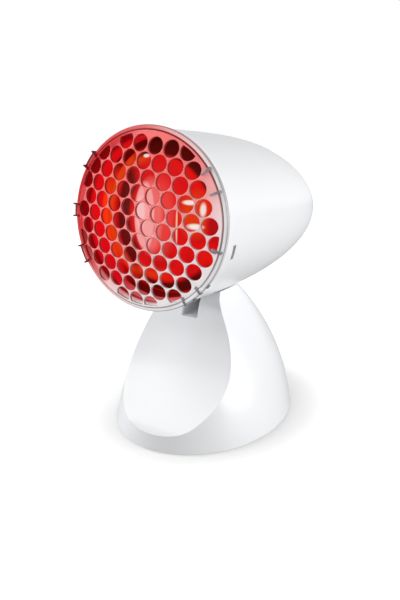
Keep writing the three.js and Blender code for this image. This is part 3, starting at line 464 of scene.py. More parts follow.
class Wiring:
    """Adds nodes to a node tree and wires them."""

    def __init__(self, tree: bpy.types.NodeTree) -> None:
        """Work on a node tree."""
        self.tree = tree

    def node(self, kind: str, **settings: object) -> bpy.types.Node:
        """New node.

        Args:
            kind: Kind of node.
            settings: Its settings, by name.

        Returns:
            The node.
        """
        made = self.tree.nodes.new(kind)
        for label, value in settings.items():
            setattr(made, label, value)
        return made

    def feed(self, socket: Socket, value: object) -> None:
        """Wire an input or set it.

        Args:
            socket: The input.
            value: Socket that is wired into it, or its number, vector or colour.
        """
        if isinstance(value, Socket):
            self.tree.links.new(value, socket)
        else:
            socket.default_value = (*value, 1.0) if socket.type == "RGBA" else value

    def fed(self, kind: str, output: Union[int, str], inputs: dict[Union[int, str], object],
            **settings: object) -> Socket:
        """One output of a new node.

        Args:
            kind: Kind of node.
            output: Name or number of the output.
            inputs: Value or socket of each input that is set, by name or number.
            settings: Other settings of the node.

        Returns:
            The output's socket.
        """
        made = self.node(kind, **settings)
        for label, value in inputs.items():
            self.feed(made.inputs[label], value)
        return made.outputs[output]

    def math(self, operation: str, *terms: object, clamp: bool = False) -> Socket:
        """Result of a math node whose terms are numbers or sockets."""
        return self.fed("ShaderNodeMath", 0, dict(enumerate(terms)), operation=operation, use_clamp=clamp)

    def fade(self, value: object, start: object, length: float) -> Socket:
        """Share that grows from 0 at a start to 1 a length further on, back down for a negative length."""
        return self.math("DIVIDE", self.math("SUBTRACT", value, start), length, clamp=True)

    def coordinates(self, kind: str = "Object") -> Socket:
        """Object coordinates of the shaded point, or its normal."""
        return self.node("ShaderNodeTexCoord").outputs[kind]

    def noise(self, scale: object, detail: float = 2.0, distortion: float = 0.0,
              place: Optional[Socket] = None) -> Socket:
        """Noise value.

        Args:
            scale: Its scale, per metre.
            detail: How many finer layers it has.
            distortion: How far it is bent.
            place: Coordinates that it lies over, object coordinates if none are given.

        Returns:
            The value, from 0 to 1.
        """
        vector = self.coordinates() if place is None else place
        return self.fed("ShaderNodeTexNoise", "Fac", {"Vector": vector, "Scale": scale, "Detail": detail,
                                                      "Distortion": distortion})

    def seen(self) -> Socket:
        """1 for rays that come from the camera, straight or through clear plastic."""
        path = self.node("ShaderNodeLightPath").outputs
        return self.math("MAXIMUM", path["Is Camera Ray"], path["Is Transmission Ray"])


class SurfaceGroup(Wiring):
    """Shader group that gives a bumped normal and a roughness that swings about its input."""

    def __init__(self, name: str, inputs: dict[str, float]) -> None:
        """Start the group.

        Args:
            name: Its name.
            inputs: Default of each input, by name. All are numbers.
        """
        super().__init__(bpy.data.node_groups.new(name, "ShaderNodeTree"))
        for label, value in inputs.items():
            socket = self.tree.interface.new_socket(label, in_out="INPUT", socket_type="NodeSocketFloat")
            socket.default_value = value
        for label, kind in (("Normal", "NodeSocketVector"), ("Roughness", "NodeSocketFloat")):
            self.tree.interface.new_socket(label, in_out="OUTPUT", socket_type=kind)
        self.source = self.node("NodeGroupInput").outputs
        self.result = self.node("NodeGroupOutput").inputs

    def close(self, bump: dict[str, object], sway: Socket, amount: str) -> bpy.types.NodeTree:
        """Wire the outputs.

        Args:
            bump: Inputs of the bump node.
            sway: Noise that moves the roughness.
            amount: Name of the input that says how far.

        Returns:
            The group's tree.
        """
        self.feed(self.result["Normal"], self.fed("ShaderNodeBump", "Normal", bump))
        swing = self.math("MULTIPLY", self.math("SUBTRACT", sway, 0.5), self.source[amount])
        self.feed(self.result["Roughness"], self.math("ADD", self.source["Roughness"], swing))
        return self.tree


@dataclass(frozen=True)
class GrainGroup:
    """Fine moulded grain, with a roughness that drifts over the surface. Distances are in metres."""

    detail: float = 3.0
    depth: float = 0.0002
    drift_scale: float = 22.0

    def make(self) -> bpy.types.NodeTree:
        """Build the group."""
        group = SurfaceGroup("moulded_grain", {"Scale": 900.0, "Height": 0.02, "Roughness": 0.3,
                                               "Drift": 0.06})
        fine = group.noise(group.source["Scale"], self.detail)
        bump = {"Height": fine, "Strength": group.source["Height"], "Distance": self.depth}
        return group.close(bump, group.noise(self.drift_scale), "Drift")


@dataclass(frozen=True)
class BrushedGroup:
    """Fine scratches along one way for metals, with a streaked roughness. Distances are in metres."""

    stretch: Place = (1.0, 1.0, 30.0)
    scale: float = 90.0
    strength: float = 0.08
    depth: float = 0.0001

    def make(self) -> bpy.types.NodeTree:
        """Build the group."""
        group = SurfaceGroup("brushed_metal", {"Roughness": 0.3, "Streaks": 0.15})
        stretched = group.fed("ShaderNodeMapping", "Vector", {"Vector": group.coordinates(),
                                                              "Scale": self.stretch})
        scratches = group.noise(self.scale, place=stretched)
        bump = {"Height": scratches, "Strength": self.strength, "Distance": self.depth}
        return group.close(bump, scratches, "Streaks")


class Painter(Wiring):
    """Wires one material, with shorthand for places, ramps and mixes of colour."""

    def __init__(self, name: str) -> None:
        """Start a material with its main shader."""
        self.material = bpy.data.materials.new(name)
        self.material.use_nodes = True
        super().__init__(self.material.node_tree)
        self.shader = self.tree.nodes["Principled BSDF"]

    def shade(self, inputs: dict[str, object]) -> None:
        """Set or wire inputs of the main shader, by name."""
        for label, value in inputs.items():
            self.feed(self.shader.inputs[label], value)

    def surface(self, group: bpy.types.NodeTree, inputs: dict[str, float]) -> bpy.types.Material:
        """Take the normal and the roughness from a shader group.

        Args:
            group: The group.
            inputs: Values of its inputs, by name.

        Returns:
            The finished material.
        """
        made = self.node("ShaderNodeGroup", node_tree=group)
        for label, value in inputs.items():
            self.feed(made.inputs[label], value)
        self.shade({label: made.outputs[label] for label in ("Normal", "Roughness")})
        return self.material

    def place(self) -> tuple[Socket, Socket, Socket]:
        """Object coordinates in millimetres, x, y and height over the head's axis."""
        parts = self.node("ShaderNodeSeparateXYZ")
        self.feed(parts.inputs[0], self.coordinates())
        x, y, z = [self.math("MULTIPLY", socket, 1 / MM) for socket in parts.outputs]
        return x, y, self.math("SUBTRACT", z, AXIS.height)

    def ramp(self, value: Socket, stops: Stops) -> Socket:
        """Colour ramp.

        Args:
            value: Value that it runs over.
            stops: Position and colour of each stop.

        Returns:
            The colour.
        """
        made = self.node("ShaderNodeValToRGB")
        elements = made.color_ramp.elements
        while len(elements) < len(stops):
            elements.new(0.5)
        for element, (position, color) in zip(elements, stops):
            element.position = position
            element.color = (*color, 1.0)
        self.feed(made.inputs["Fac"], value)
        return made.outputs["Color"]

    def mix(self, share: Socket, first: object, second: object) -> Socket:
        """Colour mixed from the first to the second as the share goes from 0 to 1."""
        return self.fed("ShaderNodeMix", 2, {0: share, 6: first, 7: second}, data_type="RGBA")

    def product(self, *terms: Socket) -> Socket:
        """Two shares multiplied."""
        return self.math("MULTIPLY", *terms)

    def reach(self, x: Socket, z: Socket) -> Socket:
        """Length of the line with the given two coordinates."""
        return self.math("SQRT", self.math("ADD", self.product(x, x), self.product(z, z)))

    def toward(self, x: Socket, z: Socket, degrees: float, size: float = 1.0) -> Socket:
        """How far a place lies in a direction.

        Args:
            x: Distance to the right.
            z: Height.
            degrees: Direction, counterclockwise from the right.
            size: Distance that counts as 1.

        Returns:
            The distance in that direction, as a share of the size.
        """
        angle = math.radians(degrees)
        return self.math("ADD", self.math("MULTIPLY", x, math.cos(angle) / size),
                         self.math("MULTIPLY", z, math.sin(angle) / size))

    def oval(self, x: Socket, z: Socket, middle: Pair, size: Pair) -> tuple[Socket, Socket]:
        """Coordinates from the middle of an oval.

        Args:
            x: Distance to the right.
            z: Height, or distance to the back for an oval that lies flat.
            middle: Its middle.
            size: Its half sizes.

        Returns:
            Both distances from the middle, as shares of the half sizes.
        """
        across, along = [self.math("DIVIDE", self.math("SUBTRACT", value, at), half)
                         for value, at, half in zip((x, z), middle, size)]
        return across, along


# Marks of colour

@dataclass(frozen=True)
class Patch:
    """Oval patch of colour: its middle and half sizes in millimetres, its fade as a share of them."""

    middle: Pair
    size: Pair
    color: Color
    soft: float = 0.3

    def mask(self, paint: Painter, x: Socket, z: Socket) -> Socket:
        """Soft-edged mask of the oval.

        Args:
            paint: Painter of the material.
            x: Distance to the right.
            z: Height over the head's axis.

        Returns:
            1 inside the oval, 0 outside it.
        """
        reach = paint.reach(*paint.oval(x, z, self.middle, self.size))
        return paint.fade(reach, 1 + self.soft, -2 * self.soft)


@dataclass(frozen=True)
class Arc:
    """Stretch of an oval ring of colour: width and fade are shares of the oval, angles are in degrees."""

    middle: Pair
    size: Pair
    color: Color = (0.0, 0.0, 0.0)
    width: float = 0.15
    soft: float = 0.06
    direction: float = 180.0
    half: float = 180.0
    end_fade: float = 0.1
    least_reach: float = 0.01

    def mask(self, paint: Painter, x: Socket, z: Socket) -> Socket:
        """Soft-edged mask of the stretch, or of the whole ring.

        Args:
            paint: Painter of the material.
            x: Distance to the right.
            z: Height over the head's axis.

        Returns:
            1 on the stretch, 0 off it.
        """
        across, along = paint.oval(x, z, self.middle, self.size)
        reach = paint.reach(across, along)
        off = paint.math("ABSOLUTE", paint.math("SUBTRACT", reach, 1.0))
        ring = paint.fade(off, self.width + self.soft, -2 * self.soft)
        if self.half >= 180:
            return ring
        facing = paint.math("DIVIDE", paint.toward(across, along, self.direction),
                            paint.math("MAXIMUM", reach, self.least_reach))
        end = math.cos(math.radians(self.half))
        return paint.product(ring, paint.fade(facing, end - self.end_fade, 2 * self.end_fade))


BULB_GLOW_AND_HIGHLIGHTS = (
    Arc((-6.0, 1.0), (33.0, 36.0), (0.76, 0.05, 0.006), 0.11, 0.06, 180.0, 85.0),
    Arc((-6.0, 1.0), (33.0, 36.0), (0.74, 0.03, 0.006), 0.07, 0.06, 255.0, 35.0),
    Arc((-6.0, 1.0), (19.5, 30.0), (0.1, 0.003, 0.002), 0.27, 0.08, 185.0, 58.0),
    Arc((-3.0, -3.0), (46.5, 46.5), (0.06, 0.003, 0.002), 0.135, 0.02, 66.0, 46.0),
    Arc((2.0, 1.0), (44.0, 44.0), (0.06, 0.003, 0.002), 0.09, 0.03, 280.0, 36.0),
    Patch((26.0, 4.0), (9.0, 12.0), (0.78, 0.04, 0.003), 0.35),
    Patch((37.5, -2.0), (4.0, 8.0), (0.45, 0.004, 0.006), 0.4),
    Patch((2.0, 1.0), (11.0, 22.0), (0.84, 0.05, 0.045), 0.25),
    Patch((-5.0, 1.0), (9.5, 21.5), (0.88, 0.15, 0.14), 0.15),
    Patch((-8.6, 1.0), (7.6, 20.0), (0.96, 0.38, 0.37), 0.07),
    Patch((-11.5, 3.0), (3.4, 9.0), (0.98, 0.56, 0.56)),
    # Painted highlights: reflections of the studio lamps on the glass, and a streak from one lamp.
    Patch((22.5, 10.8), (4.2, 1.3), (0.95, 0.86, 0.8)),
    Patch((30.8, 7.0), (1.7, 3.6), (0.95, 0.8, 0.75), 0.35),
    Patch((26.5, -2.8), (4.6, 1.6), (0.95, 0.88, 0.8), 0.35),
    Patch((14.6, -3.0), (0.6, 11.0), (0.92, 0.5, 0.35)),
    Patch((-11.0, 36.2), (2.4, 1.0), (0.95, 0.75, 0.72)),
)


# Finishes

@dataclass(frozen=True)
class MouldedFinish:
    """Moulded plastic, rubber or glaze: one colour with a slow drift, and fine grain."""

    name: str
    color: Color
    roughness: float
    grain: float = 0.02
    scale: float = 900.0
    coat: float = 0.0
    coat_roughness: float = 0.12
    drift: float = 0.03
    drift_scale: float = 14.0
    drift_stops: Pair = (0.3, 0.7)

    def make(self, groups: dict[str, bpy.types.NodeTree]) -> bpy.types.Material:
        """Build the material.

        Args:
            groups: Shader groups by name.

        Returns:
            The material.
        """
        paint = Painter(self.name)
        shaded = tuple(channel * (1 - self.drift) for channel in self.color)
        color = paint.ramp(paint.noise(self.drift_scale), tuple(zip(self.drift_stops, (shaded, self.color))))
        paint.shade({"Base Color": color, "Coat Weight": self.coat, "Coat Roughness": self.coat_roughness})
        return paint.surface(groups["grain"], {"Scale": self.scale, "Height": self.grain,
                                               "Roughness": self.roughness})


@dataclass(frozen=True)
class MetalFinish:
    """Bare metal with fine streaks."""

    name: str
    color: Color
    roughness: float
    metallic: float = 1.0

    def make(self, groups: dict[str, bpy.types.NodeTree]) -> bpy.types.Material:
        """Build the material.

        Args:
            groups: Shader groups by name.

        Returns:
            The material.
        """
        paint = Painter(self.name)
        paint.shade({"Base Color": self.color, "Metallic": self.metallic})
        return paint.surface(groups["brushed"], {"Roughness": self.roughness})


@dataclass(frozen=True)
class BulbFinish:
    """Red lacquered glass lit from inside, with a pale hot middle, dark and orange bands, and painted
    highlights where the studio lamps reflect.
    """

    name: str = "lit_red_glass"
    glow_stops: Stops = (
        (0.3, (0.52, 0.002, 0.004)), (0.48, (0.72, 0.0038, 0.005)), (0.72, (0.8, 0.008, 0.004)))
    lacquer: tuple[Color, Color] = ((0.03, 0.0004, 0.0008), (0.08, 0.0008, 0.0015))
    glow: float = 0.9
    shine: float = 0.06
    waver_scale: float = 38.0
    waver_distortion: float = 0.8
    marks_and_highlights: tuple[Union[Patch, Arc], ...] = BULB_GLOW_AND_HIGHLIGHTS
    surface: tuple[tuple[str, float], ...] = (("Scale", 300.0), ("Height", 0.05), ("Roughness", 0.45))

    def make(self, groups: dict[str, bpy.types.NodeTree]) -> bpy.types.Material:
        """Build the material.

        Args:
            groups: Shader groups by name.

        Returns:
            The material.
        """
        paint = Painter(self.name)
        x, _, z = paint.place()
        waver = paint.noise(self.waver_scale, distortion=self.waver_distortion)
        color = paint.ramp(waver, self.glow_stops)
        # The glow's bands and patches, then the painted highlights, laid over the glow.
        for mark in self.marks_and_highlights:
            color = paint.mix(mark.mask(paint, x, z), color, mark.color)
        paint.shade({"Base Color": paint.mix(waver, *self.lacquer), "Emission Color": color,
                     "Emission Strength": self.glow, "Specular IOR Level": self.shine})
        return paint.surface(groups["grain"], dict(self.surface))


@dataclass(frozen=True)
class ClearFinish:
    """Clear plastic whose colour and glow are the bulb's red light, painted: coral up and left, pale down and
    right.

    Fades are given as where they start and how far they run, over the share of the red side or over
    the distance from the head's axis in millimetres. They run inwards where that is negative.
    """

    name: str
    stops: Stops = (
        (0.0, (0.88, 0.85, 0.86)), (0.12, (0.87, 0.8, 0.81)), (0.27, (0.87, 0.7, 0.71)),
        (0.42, (0.85, 0.42, 0.42)), (0.58, (0.84, 0.22, 0.22)), (0.8, (0.86, 0.19, 0.18)),
        (1.0, (0.82, 0.16, 0.16)))
    turn_degrees: float = 125.0
    radius: float = 54.0
    shaded_lines: tuple[Pair, ...] = ()
    line_shade_share: float = 0.25
    line_powers: tuple[float, float, float] = (1.0, 2.4, 2.4)
    line_fade: float = 0.15
    wall_shade_share: float = 0.0
    inner_red_light: Optional[Color] = None
    inner_red_light_share: float = 0.55
    inner_red_light_side: Pair = (0.12, 0.3)
    inner_red_light_reach: Pair = (49.0, -8.0)
    edge: Optional[Color] = None
    edge_degrees: float = 165.0
    edge_side: Pair = (0.3, 0.3)
    edge_reach: Pair = (45.5, 2.0)
    behind: Optional[Color] = None
    behind_radius: float = 51.3
    behind_station: Pair = (0.0, 2.0)
    glow: float = 0.3
    transmission: float = 0.12
    refraction: float = 1.49
    shine: float = 0.5
    shine_side: Pair = (0.72, -0.35)
    surface: tuple[tuple[str, float], ...] = (("Scale", 500.0), ("Height", 0.03), ("Roughness", 0.14))

    def line_shade_color(self, color: Color) -> Color:
        """Painted shade: darker, redder colour of the gap and edge circles and the hole walls that lie over a
        colour.
        """
        return tuple(self.line_shade_share * channel ** power for channel, power in zip(color, self.line_powers))

    def make(self, groups: dict[str, bpy.types.NodeTree]) -> bpy.types.Material:
        """Build the material.

        Args:
            groups: Shader groups by name.

        Returns:
            The material.
        """
        paint = Painter(self.name)
        x, y, z = paint.place()
        across = paint.toward(x, z, self.turn_degrees, self.radius)
        share = paint.math("ADD", paint.math("MULTIPLY", across, 0.5), 0.5, clamp=True)
        reach = paint.reach(x, z)
        # Painted light: the bulb's red over the plastic, by direction.
        color = paint.ramp(share, self.stops)
        # Painted shade: a darker, redder copy of the colour for the shaded circles and the hole walls.
        dark = paint.ramp(share, [(position, self.line_shade_color(stop)) for position, stop in self.stops])
        # Painted light: more of the bulb's red on the inner webs, fading out towards the rim.
        if self.inner_red_light:
            inner = paint.product(paint.fade(share, *self.inner_red_light_side), paint.fade(reach, *self.inner_red_light_reach))
            color = paint.mix(paint.math("MULTIPLY", inner, self.inner_red_light_share), color, self.inner_red_light)
        if self.edge:
            leftward = paint.toward(x, z, self.edge_degrees, self.radius)
            outer = paint.product(paint.fade(leftward, *self.edge_side), paint.fade(reach, *self.edge_reach))
            color = paint.mix(outer, color, self.edge)
        # Painted shade along circles at the gap by the grille and at the ring's step edges.
        for radius, half in self.shaded_lines:
            shaded_circle = Arc((0.0, 0.0), (radius, radius), width=half / radius, soft=self.line_fade / radius)
            color = paint.mix(shaded_circle.mask(paint, x, z), color, dark)
        # Painted shade on the walls of the holes.
        if self.wall_shade_share:
            wall = paint.node("ShaderNodeAttribute", attribute_name="wall").outputs["Fac"]
            color = paint.mix(paint.math("MULTIPLY", wall, self.wall_shade_share), color, dark)
        # Painted shade: the ring's skirt behind the grille, inside the step, darker red.
        if self.behind:
            deep = paint.fade(paint.math("ADD", y, MIDDLE_DEPTH), *self.behind_station)
            hidden = paint.product(paint.math("LESS_THAN", reach, self.behind_radius), deep)
            color = paint.mix(hidden, color, self.behind)
        shine = paint.math("MULTIPLY", paint.fade(share, *self.shine_side), self.shine)
        # Painted glow: the colour is emitted too, for the bulb's light that the plastic carries.
        paint.shade({"Base Color": color, "Emission Color": color, "Emission Strength": self.glow,
                     "Transmission Weight": self.transmission, "IOR": self.refraction,
                     "Specular IOR Level": shine})
        return paint.surface(groups["grain"], dict(self.surface))


@dataclass(frozen=True)
class ShieldFinish:
    """Bright metal cup round the bulb, reddened inside by its light and dark at the top.

    The light falls off a few millimetres behind the rim, and nearer to the rim at the bottom.
    """

    name: str = "shield_metal"
    plain: Color = (0.62, 0.6, 0.61)
    front: Stops = (
        (0.03, (0.5, 0.1, 0.11)), (0.09, (0.5, 0.004, 0.012)), (0.5, (0.62, 0.004, 0.01)),
        (0.85, (0.56, 0.003, 0.008)))
    back: Stops = (
        (0.05, (0.05, 0.001, 0.001)), (0.14, (0.3, 0.003, 0.004)), (0.24, (0.7, 0.05, 0.006)),
        (0.6, (0.76, 0.055, 0.006)), (0.74, (0.5, 0.02, 0.005)), (0.82, (0.05, 0.001, 0.001)))
    levels: Pair = (-50.0, 100.0)
    bottom: Pair = (-36.0, -6.0)
    back_start: float = 18.0
    bottom_lead: float = 7.0
    back_fade: float = 2.5
    inside_limit: float = 40.0
    glow: float = 0.64
    metallic: float = 0.3
    roughness: float = 0.4

    def make(self, groups: dict[str, bpy.types.NodeTree]) -> bpy.types.Material:
        """Build the material.

        Args:
            groups: Shader groups by name.

        Returns:
            The material.
        """
        paint = Painter(self.name)
        x, y, z = paint.place()
        level = paint.fade(z, *self.levels)
        lead = paint.math("MULTIPLY", paint.fade(z, *self.bottom), self.bottom_lead)
        start = paint.math("SUBTRACT", self.back_start, lead)
        deep = paint.fade(paint.math("ADD", y, MIDDLE_DEPTH), start, self.back_fade)
        color = paint.mix(deep, paint.ramp(level, self.front), paint.ramp(level, self.back))
        normal = paint.node("ShaderNodeSeparateXYZ")
        paint.feed(normal.inputs[0], paint.coordinates("Normal"))
        outward = paint.math("ADD", paint.product(normal.outputs["X"], x),
                             paint.product(normal.outputs["Z"], z))
        inside = paint.math("LESS_THAN", outward, self.inside_limit)
        paint.shade({"Base Color": paint.mix(inside, self.plain, color), "Emission Color": color,
                     "Emission Strength": paint.math("MULTIPLY", inside, self.glow),
                     "Metallic": self.metallic})
        return paint.surface(groups["brushed"], {"Roughness": self.roughness})


class Finishes:
    """All materials of the lamp, made once and handed out by name."""

    def __init__(self) -> None:
        """Make the shader groups and every finish."""
        groups = {"grain": GrainGroup().make(), "brushed": BrushedGroup().make()}
        finishes = (
            MouldedFinish("white_casing", (0.86, 0.87, 0.89), 0.34, coat=0.25, drift=0.012),
            MouldedFinish("gray_moulding", (0.56, 0.59, 0.63), 0.5, 0.04),
            MouldedFinish("black_moulding", (0.03, 0.03, 0.034), 0.42, 0.05),
            MouldedFinish("rubber", (0.05, 0.05, 0.055), 0.85, 0.2, 600.0),
            MouldedFinish("porcelain", (0.85, 0.82, 0.76), 0.25, 0.02, 300.0, 0.5),
            MouldedFinish("lead_sheath", (0.75, 0.75, 0.73), 0.55, 0.05),
            MetalFinish("steel", (0.56, 0.57, 0.58), 0.3),
            MetalFinish("cast_iron", (0.12, 0.12, 0.125), 0.6, 0.7),
            MetalFinish("aluminium", (0.8, 0.81, 0.82), 0.28),
            MetalFinish("brass", (0.75, 0.55, 0.24), 0.28),
            MetalFinish("tungsten", (0.9, 0.45, 0.25), 0.4),
            BulbFinish(),
            ClearFinish("clear_grille", shaded_lines=((51.1, 0.12),), line_powers=(1.0, 1.8, 1.8), wall_shade_share=0.9,
                        inner_red_light=(0.86, 0.15, 0.14), edge=(0.58, 0.022, 0.03)),
            ClearFinish("clear_ring", ((0.0, (0.78, 0.78, 0.8)), (0.28, (0.74, 0.71, 0.72)),
                                       (0.54, (0.8, 0.45, 0.45)), (0.75, (0.76, 0.17, 0.17)),
                                       (1.0, (0.62, 0.03, 0.035))),
                        150.0, shaded_lines=((51.6, 0.22), (53.75, 0.3)), line_shade_share=0.4,
                        line_powers=(1.0, 1.2, 1.2), behind=(0.32, 0.003, 0.006)),
            ClearFinish("ring_detail", ((0.0, (0.22, 0.22, 0.24)), (0.5, (0.32, 0.27, 0.28)),
                                        (0.66, (0.26, 0.03, 0.045)), (1.0, (0.22, 0.012, 0.02))),
                        150.0, transmission=0.15, glow=0.1),
            ClearFinish("clear_glass", ((0.0, (0.85, 0.85, 0.87)), (1.0, (0.8, 0.8, 0.83))),
                        transmission=0.6, glow=0.0),
            ShieldFinish(),
        )
        self.made = {finish.name: finish.make(groups) for finish in finishes}

    def dress(self, thing: Thing, name: str) -> None:
        """Give an object one of the finishes, by name."""
        thing.data.materials.clear()
        thing.data.materials.append(self.made[name])

    def finish_piece(self, thing: Thing, finish: str, body: Body, slot: str, *nodes: str) -> None:
        """Dress a piece and set it on its body, in place of its CAD nodes.

        Args:
            thing: Finished piece.
            finish: Name of its finish.
            body: Body that it rides on.
            slot: The record's material slot; not used.
            nodes: CAD nodes that it stands for.
        """
        self.dress(thing, finish)
        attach(thing, body.value)
        if nodes:
            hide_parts(*nodes)
        log.info("%s: %d faces", thing.name, len(thing.data.polygons))


# Sub-assemblies

@dataclass
class Casing:
    """White bullet of the head, with the shape that the base's saddle follows."""

    radius: float = 52.7
    length: float = 172.0
    wall: float = 2.2
    front_edge: float = 3.2
    lip_set_back: float = 0.21
    lip_draw_in: float = 0.36
    tail_rise: float = 3.6
    tail_share: float = 0.9995
    height_terms: Terms = (0.0392, 0.0617, 3.3, 2.5)
    width_terms: Terms = (0.0098, 0.0225, 10.8, 2.9)
    keel_station: float = 121.0
    keel_length: float = 17.0
    keel_width: float = 11.0
    keel_drop: float = 2.4
    fine: tuple[int, int] = (90, 160)
    coarse: tuple[int, int] = (40, 96)
    slot_station: float = 15.0
    slot_drop: float = 14.6
    slot_length: float = 8.6
    slot_width: float = 3.2
    slot_depth: float = 12.0
    slot_lean_degrees: float = 8.0
    vent_count: int = 5
    vent_spacing: float = 7.0
    vent_width: float = 3.0
    vent_height: float = 17.0
    vent_drop: float = 20.0
    vent_reach: Pair = (-24.0, 8.0)
    arm_half_width: float = 6.2
    arm_stations: Pair = (61.5, 104.4)
    arm_levels: Pair = (-70.0, -26.0)

    def reach(self, station: np.ndarray, terms: Terms, inset: float) -> np.ndarray:
        """Half size of the form at distances behind the rim.

        A swelling polynomial times a superellipse that closes it at the tail.

        Args:
            station: Distances behind the rim.
            terms: Slope and bow of the swelling, and the two powers of the closing.
            inset: How far the form is drawn in.

        Returns:
            Half sizes, in millimetres.
        """
        slope, bow, end_power, round_power = terms
        along = station / self.length
        closing = np.clip(np.maximum(station, 0) / (self.length - inset), 0, 1) ** end_power
        swelling = 1 + slope * along + bow * along ** 2
        return (self.radius - inset) * swelling * (1 - closing) ** (1 / round_power)

    def rings(self, inset: float, start: float, counts: tuple[int, int], keel: float = 1.0) -> np.ndarray:
        """Rings of the form from the front to the tail, with the keel's smooth swelling below.

        Args:
            inset: How far the form is drawn in.
            start: Distance of the first ring behind the rim.
            counts: Number of rings, and of points in each.
            keel: Share of the keel's drop.

        Returns:
            Grid of x, distance and height, in millimetres.
        """
        rows, sides = counts
        share = np.sin(np.linspace(0, np.pi / 2, rows))
        station = (start + (self.length - inset - start) * share * self.tail_share)[:, None]
        angle = np.linspace(0, 2 * np.pi, sides, endpoint=False)[None, :]
        x = self.reach(station, self.width_terms, inset) * np.sin(angle)
        height = self.reach(station, self.height_terms, inset) * np.cos(angle)
        middle = self.tail_rise * (station / self.length) ** 2
        keel_reach = ((station - self.keel_station) / self.keel_length) ** 2 + (x / self.keel_width) ** 2
        drop = keel * self.keel_drop * np.exp(-keel_reach) * (np.cos(angle) < 0)
        return np.stack([x, station + 0 * x, middle + height - drop], -1)

    def build(self, finishes: Finishes) -> None:
        """Make the casing with its side slots, tail vents and the opening for the arm.

        Args:
            finishes: Materials of the lamp.
        """
        outer = self.rings(0.0, self.front_edge, self.fine)
        inner = self.rings(self.wall, self.front_edge, self.fine, keel=0.0)
        narrower = 1 - self.lip_draw_in / self.radius
        edge = outer[:1] * [narrower, 1, narrower]
        outer[0, :, 1] += self.lip_set_back
        shell = ring_body("head_casing", AXIS.to_object(np.concatenate([outer[::-1], edge, inner])))
        carve(shell, self.cutters())
        soften(shell, sharp_degrees=40)
        finishes.finish_piece(shell, "white_casing", Body.HEAD, "white_shell", "head_shell")

    def cutters(self) -> list[Thing]:
        """Bodies that cut the two side slots, the five tail vents and the arm's opening."""
        leaned = tipped((self.slot_station, -self.slot_drop), self.slot_lean_degrees, AXIS.to_object)
        half = np.array([self.slot_depth, self.slot_width / 2, self.slot_length / 2])
        tools = []
        for side in (-1, 1):
            middle = np.array([side * self.radius, 0.0, 0.0])
            tools.append(box_body(f"slot_cut_{side}", middle - half, middle + half, leaned))
        (near, far), drop = self.vent_reach, self.vent_drop
        for at in range(self.vent_count):
            middle = (at - self.vent_count // 2) * self.vent_spacing
            low = (middle - self.vent_width / 2, self.length + near, -drop - self.vent_height / 2)
            high = (middle + self.vent_width / 2, self.length + far, -drop + self.vent_height / 2)
            tools.append(box_body(f"vent_cut_{at}", low, high, AXIS.to_object))
        low, high = zip((-self.arm_half_width, self.arm_half_width), self.arm_stations, self.arm_levels)
        return [*tools, box_body("arm_cut", low, high, AXIS.to_object)]

    def sweep(self, growth: float, pivot: Pair, tip_degrees: float) -> Thing:
        """Closed body of the casing, grown and tipped back about the pivot.

        Args:
            growth: How far it is grown.
            pivot: Depth and height of the pivot.
            tip_degrees: Angle that it is tipped back.

        Returns:
            The body.
        """
        points = AXIS.place(self.rings(-growth, -growth, self.coarse)) - [0.0, *pivot]
        return ring_body("head_sweep", tipped(pivot, -tip_degrees)(points))


@dataclass
class Bulb:
    """Reflector bulb behind the grille."""

    apex_station: float = 10.0
    radius: float = 47.5
    neck_length: float = 98.0
    wall: float = 0.9
    apex_radius: float = 0.4
    least_radius: float = 0.3
    reach_shares: tuple[float, ...] = (0, 0.015, 0.055, 0.115, 0.186, 0.3, 0.45, 0.62, 0.775, 0.9, 1)
    radius_shares: tuple[float, ...] = (0, 0.5, 0.83, 0.97, 1, 0.975, 0.89, 0.73, 0.51, 0.355, 0.3)
    smoothing: int = 3
    rows: int = 90
    sides: int = 96

    def curve(self, shares: Sequence[float], scale: float, start: float = 0.0) -> np.ndarray:
        """Smooth row of sizes through even knots.

        Args:
            shares: Size at each knot, as a share.
            scale: Size of a share of 1.
            start: Size of a share of 0.

        Returns:
            The row, in millimetres.
        """
        share = np.interp(np.linspace(0, 1, self.rows), np.linspace(0, 1, len(shares)), shares)
        return smoothed(start + scale * share, self.smoothing)

    def build(self, finishes: Finishes) -> None:
        """Make the glass as a smooth curve through the profile, with its thin wall.

        Args:
            finishes: Materials of the lamp.
        """
        radius = self.curve(self.radius_shares, self.radius)
        station = self.curve(self.reach_shares, self.neck_length, self.apex_station)
        radius[0] = self.apex_radius
        slope = np.stack([np.gradient(radius), np.gradient(station)], -1)
        slope /= np.linalg.norm(slope, axis=1, keepdims=True)
        inner_radius = np.maximum(radius - slope[:, 1] * self.wall, self.least_radius)
        inner_station = station + slope[:, 0] * self.wall
        outline = [*zip(radius, station), *zip(inner_radius[::-1], inner_station[::-1])]
        glass = ring_body("bulb_face", AXIS.to_object(revolved(outline, self.sides)))
        soften(glass, sharp_degrees=50)
        finishes.finish_piece(glass, "lit_red_glass", Body.HEAD, "red_glass", "bulb_glass")


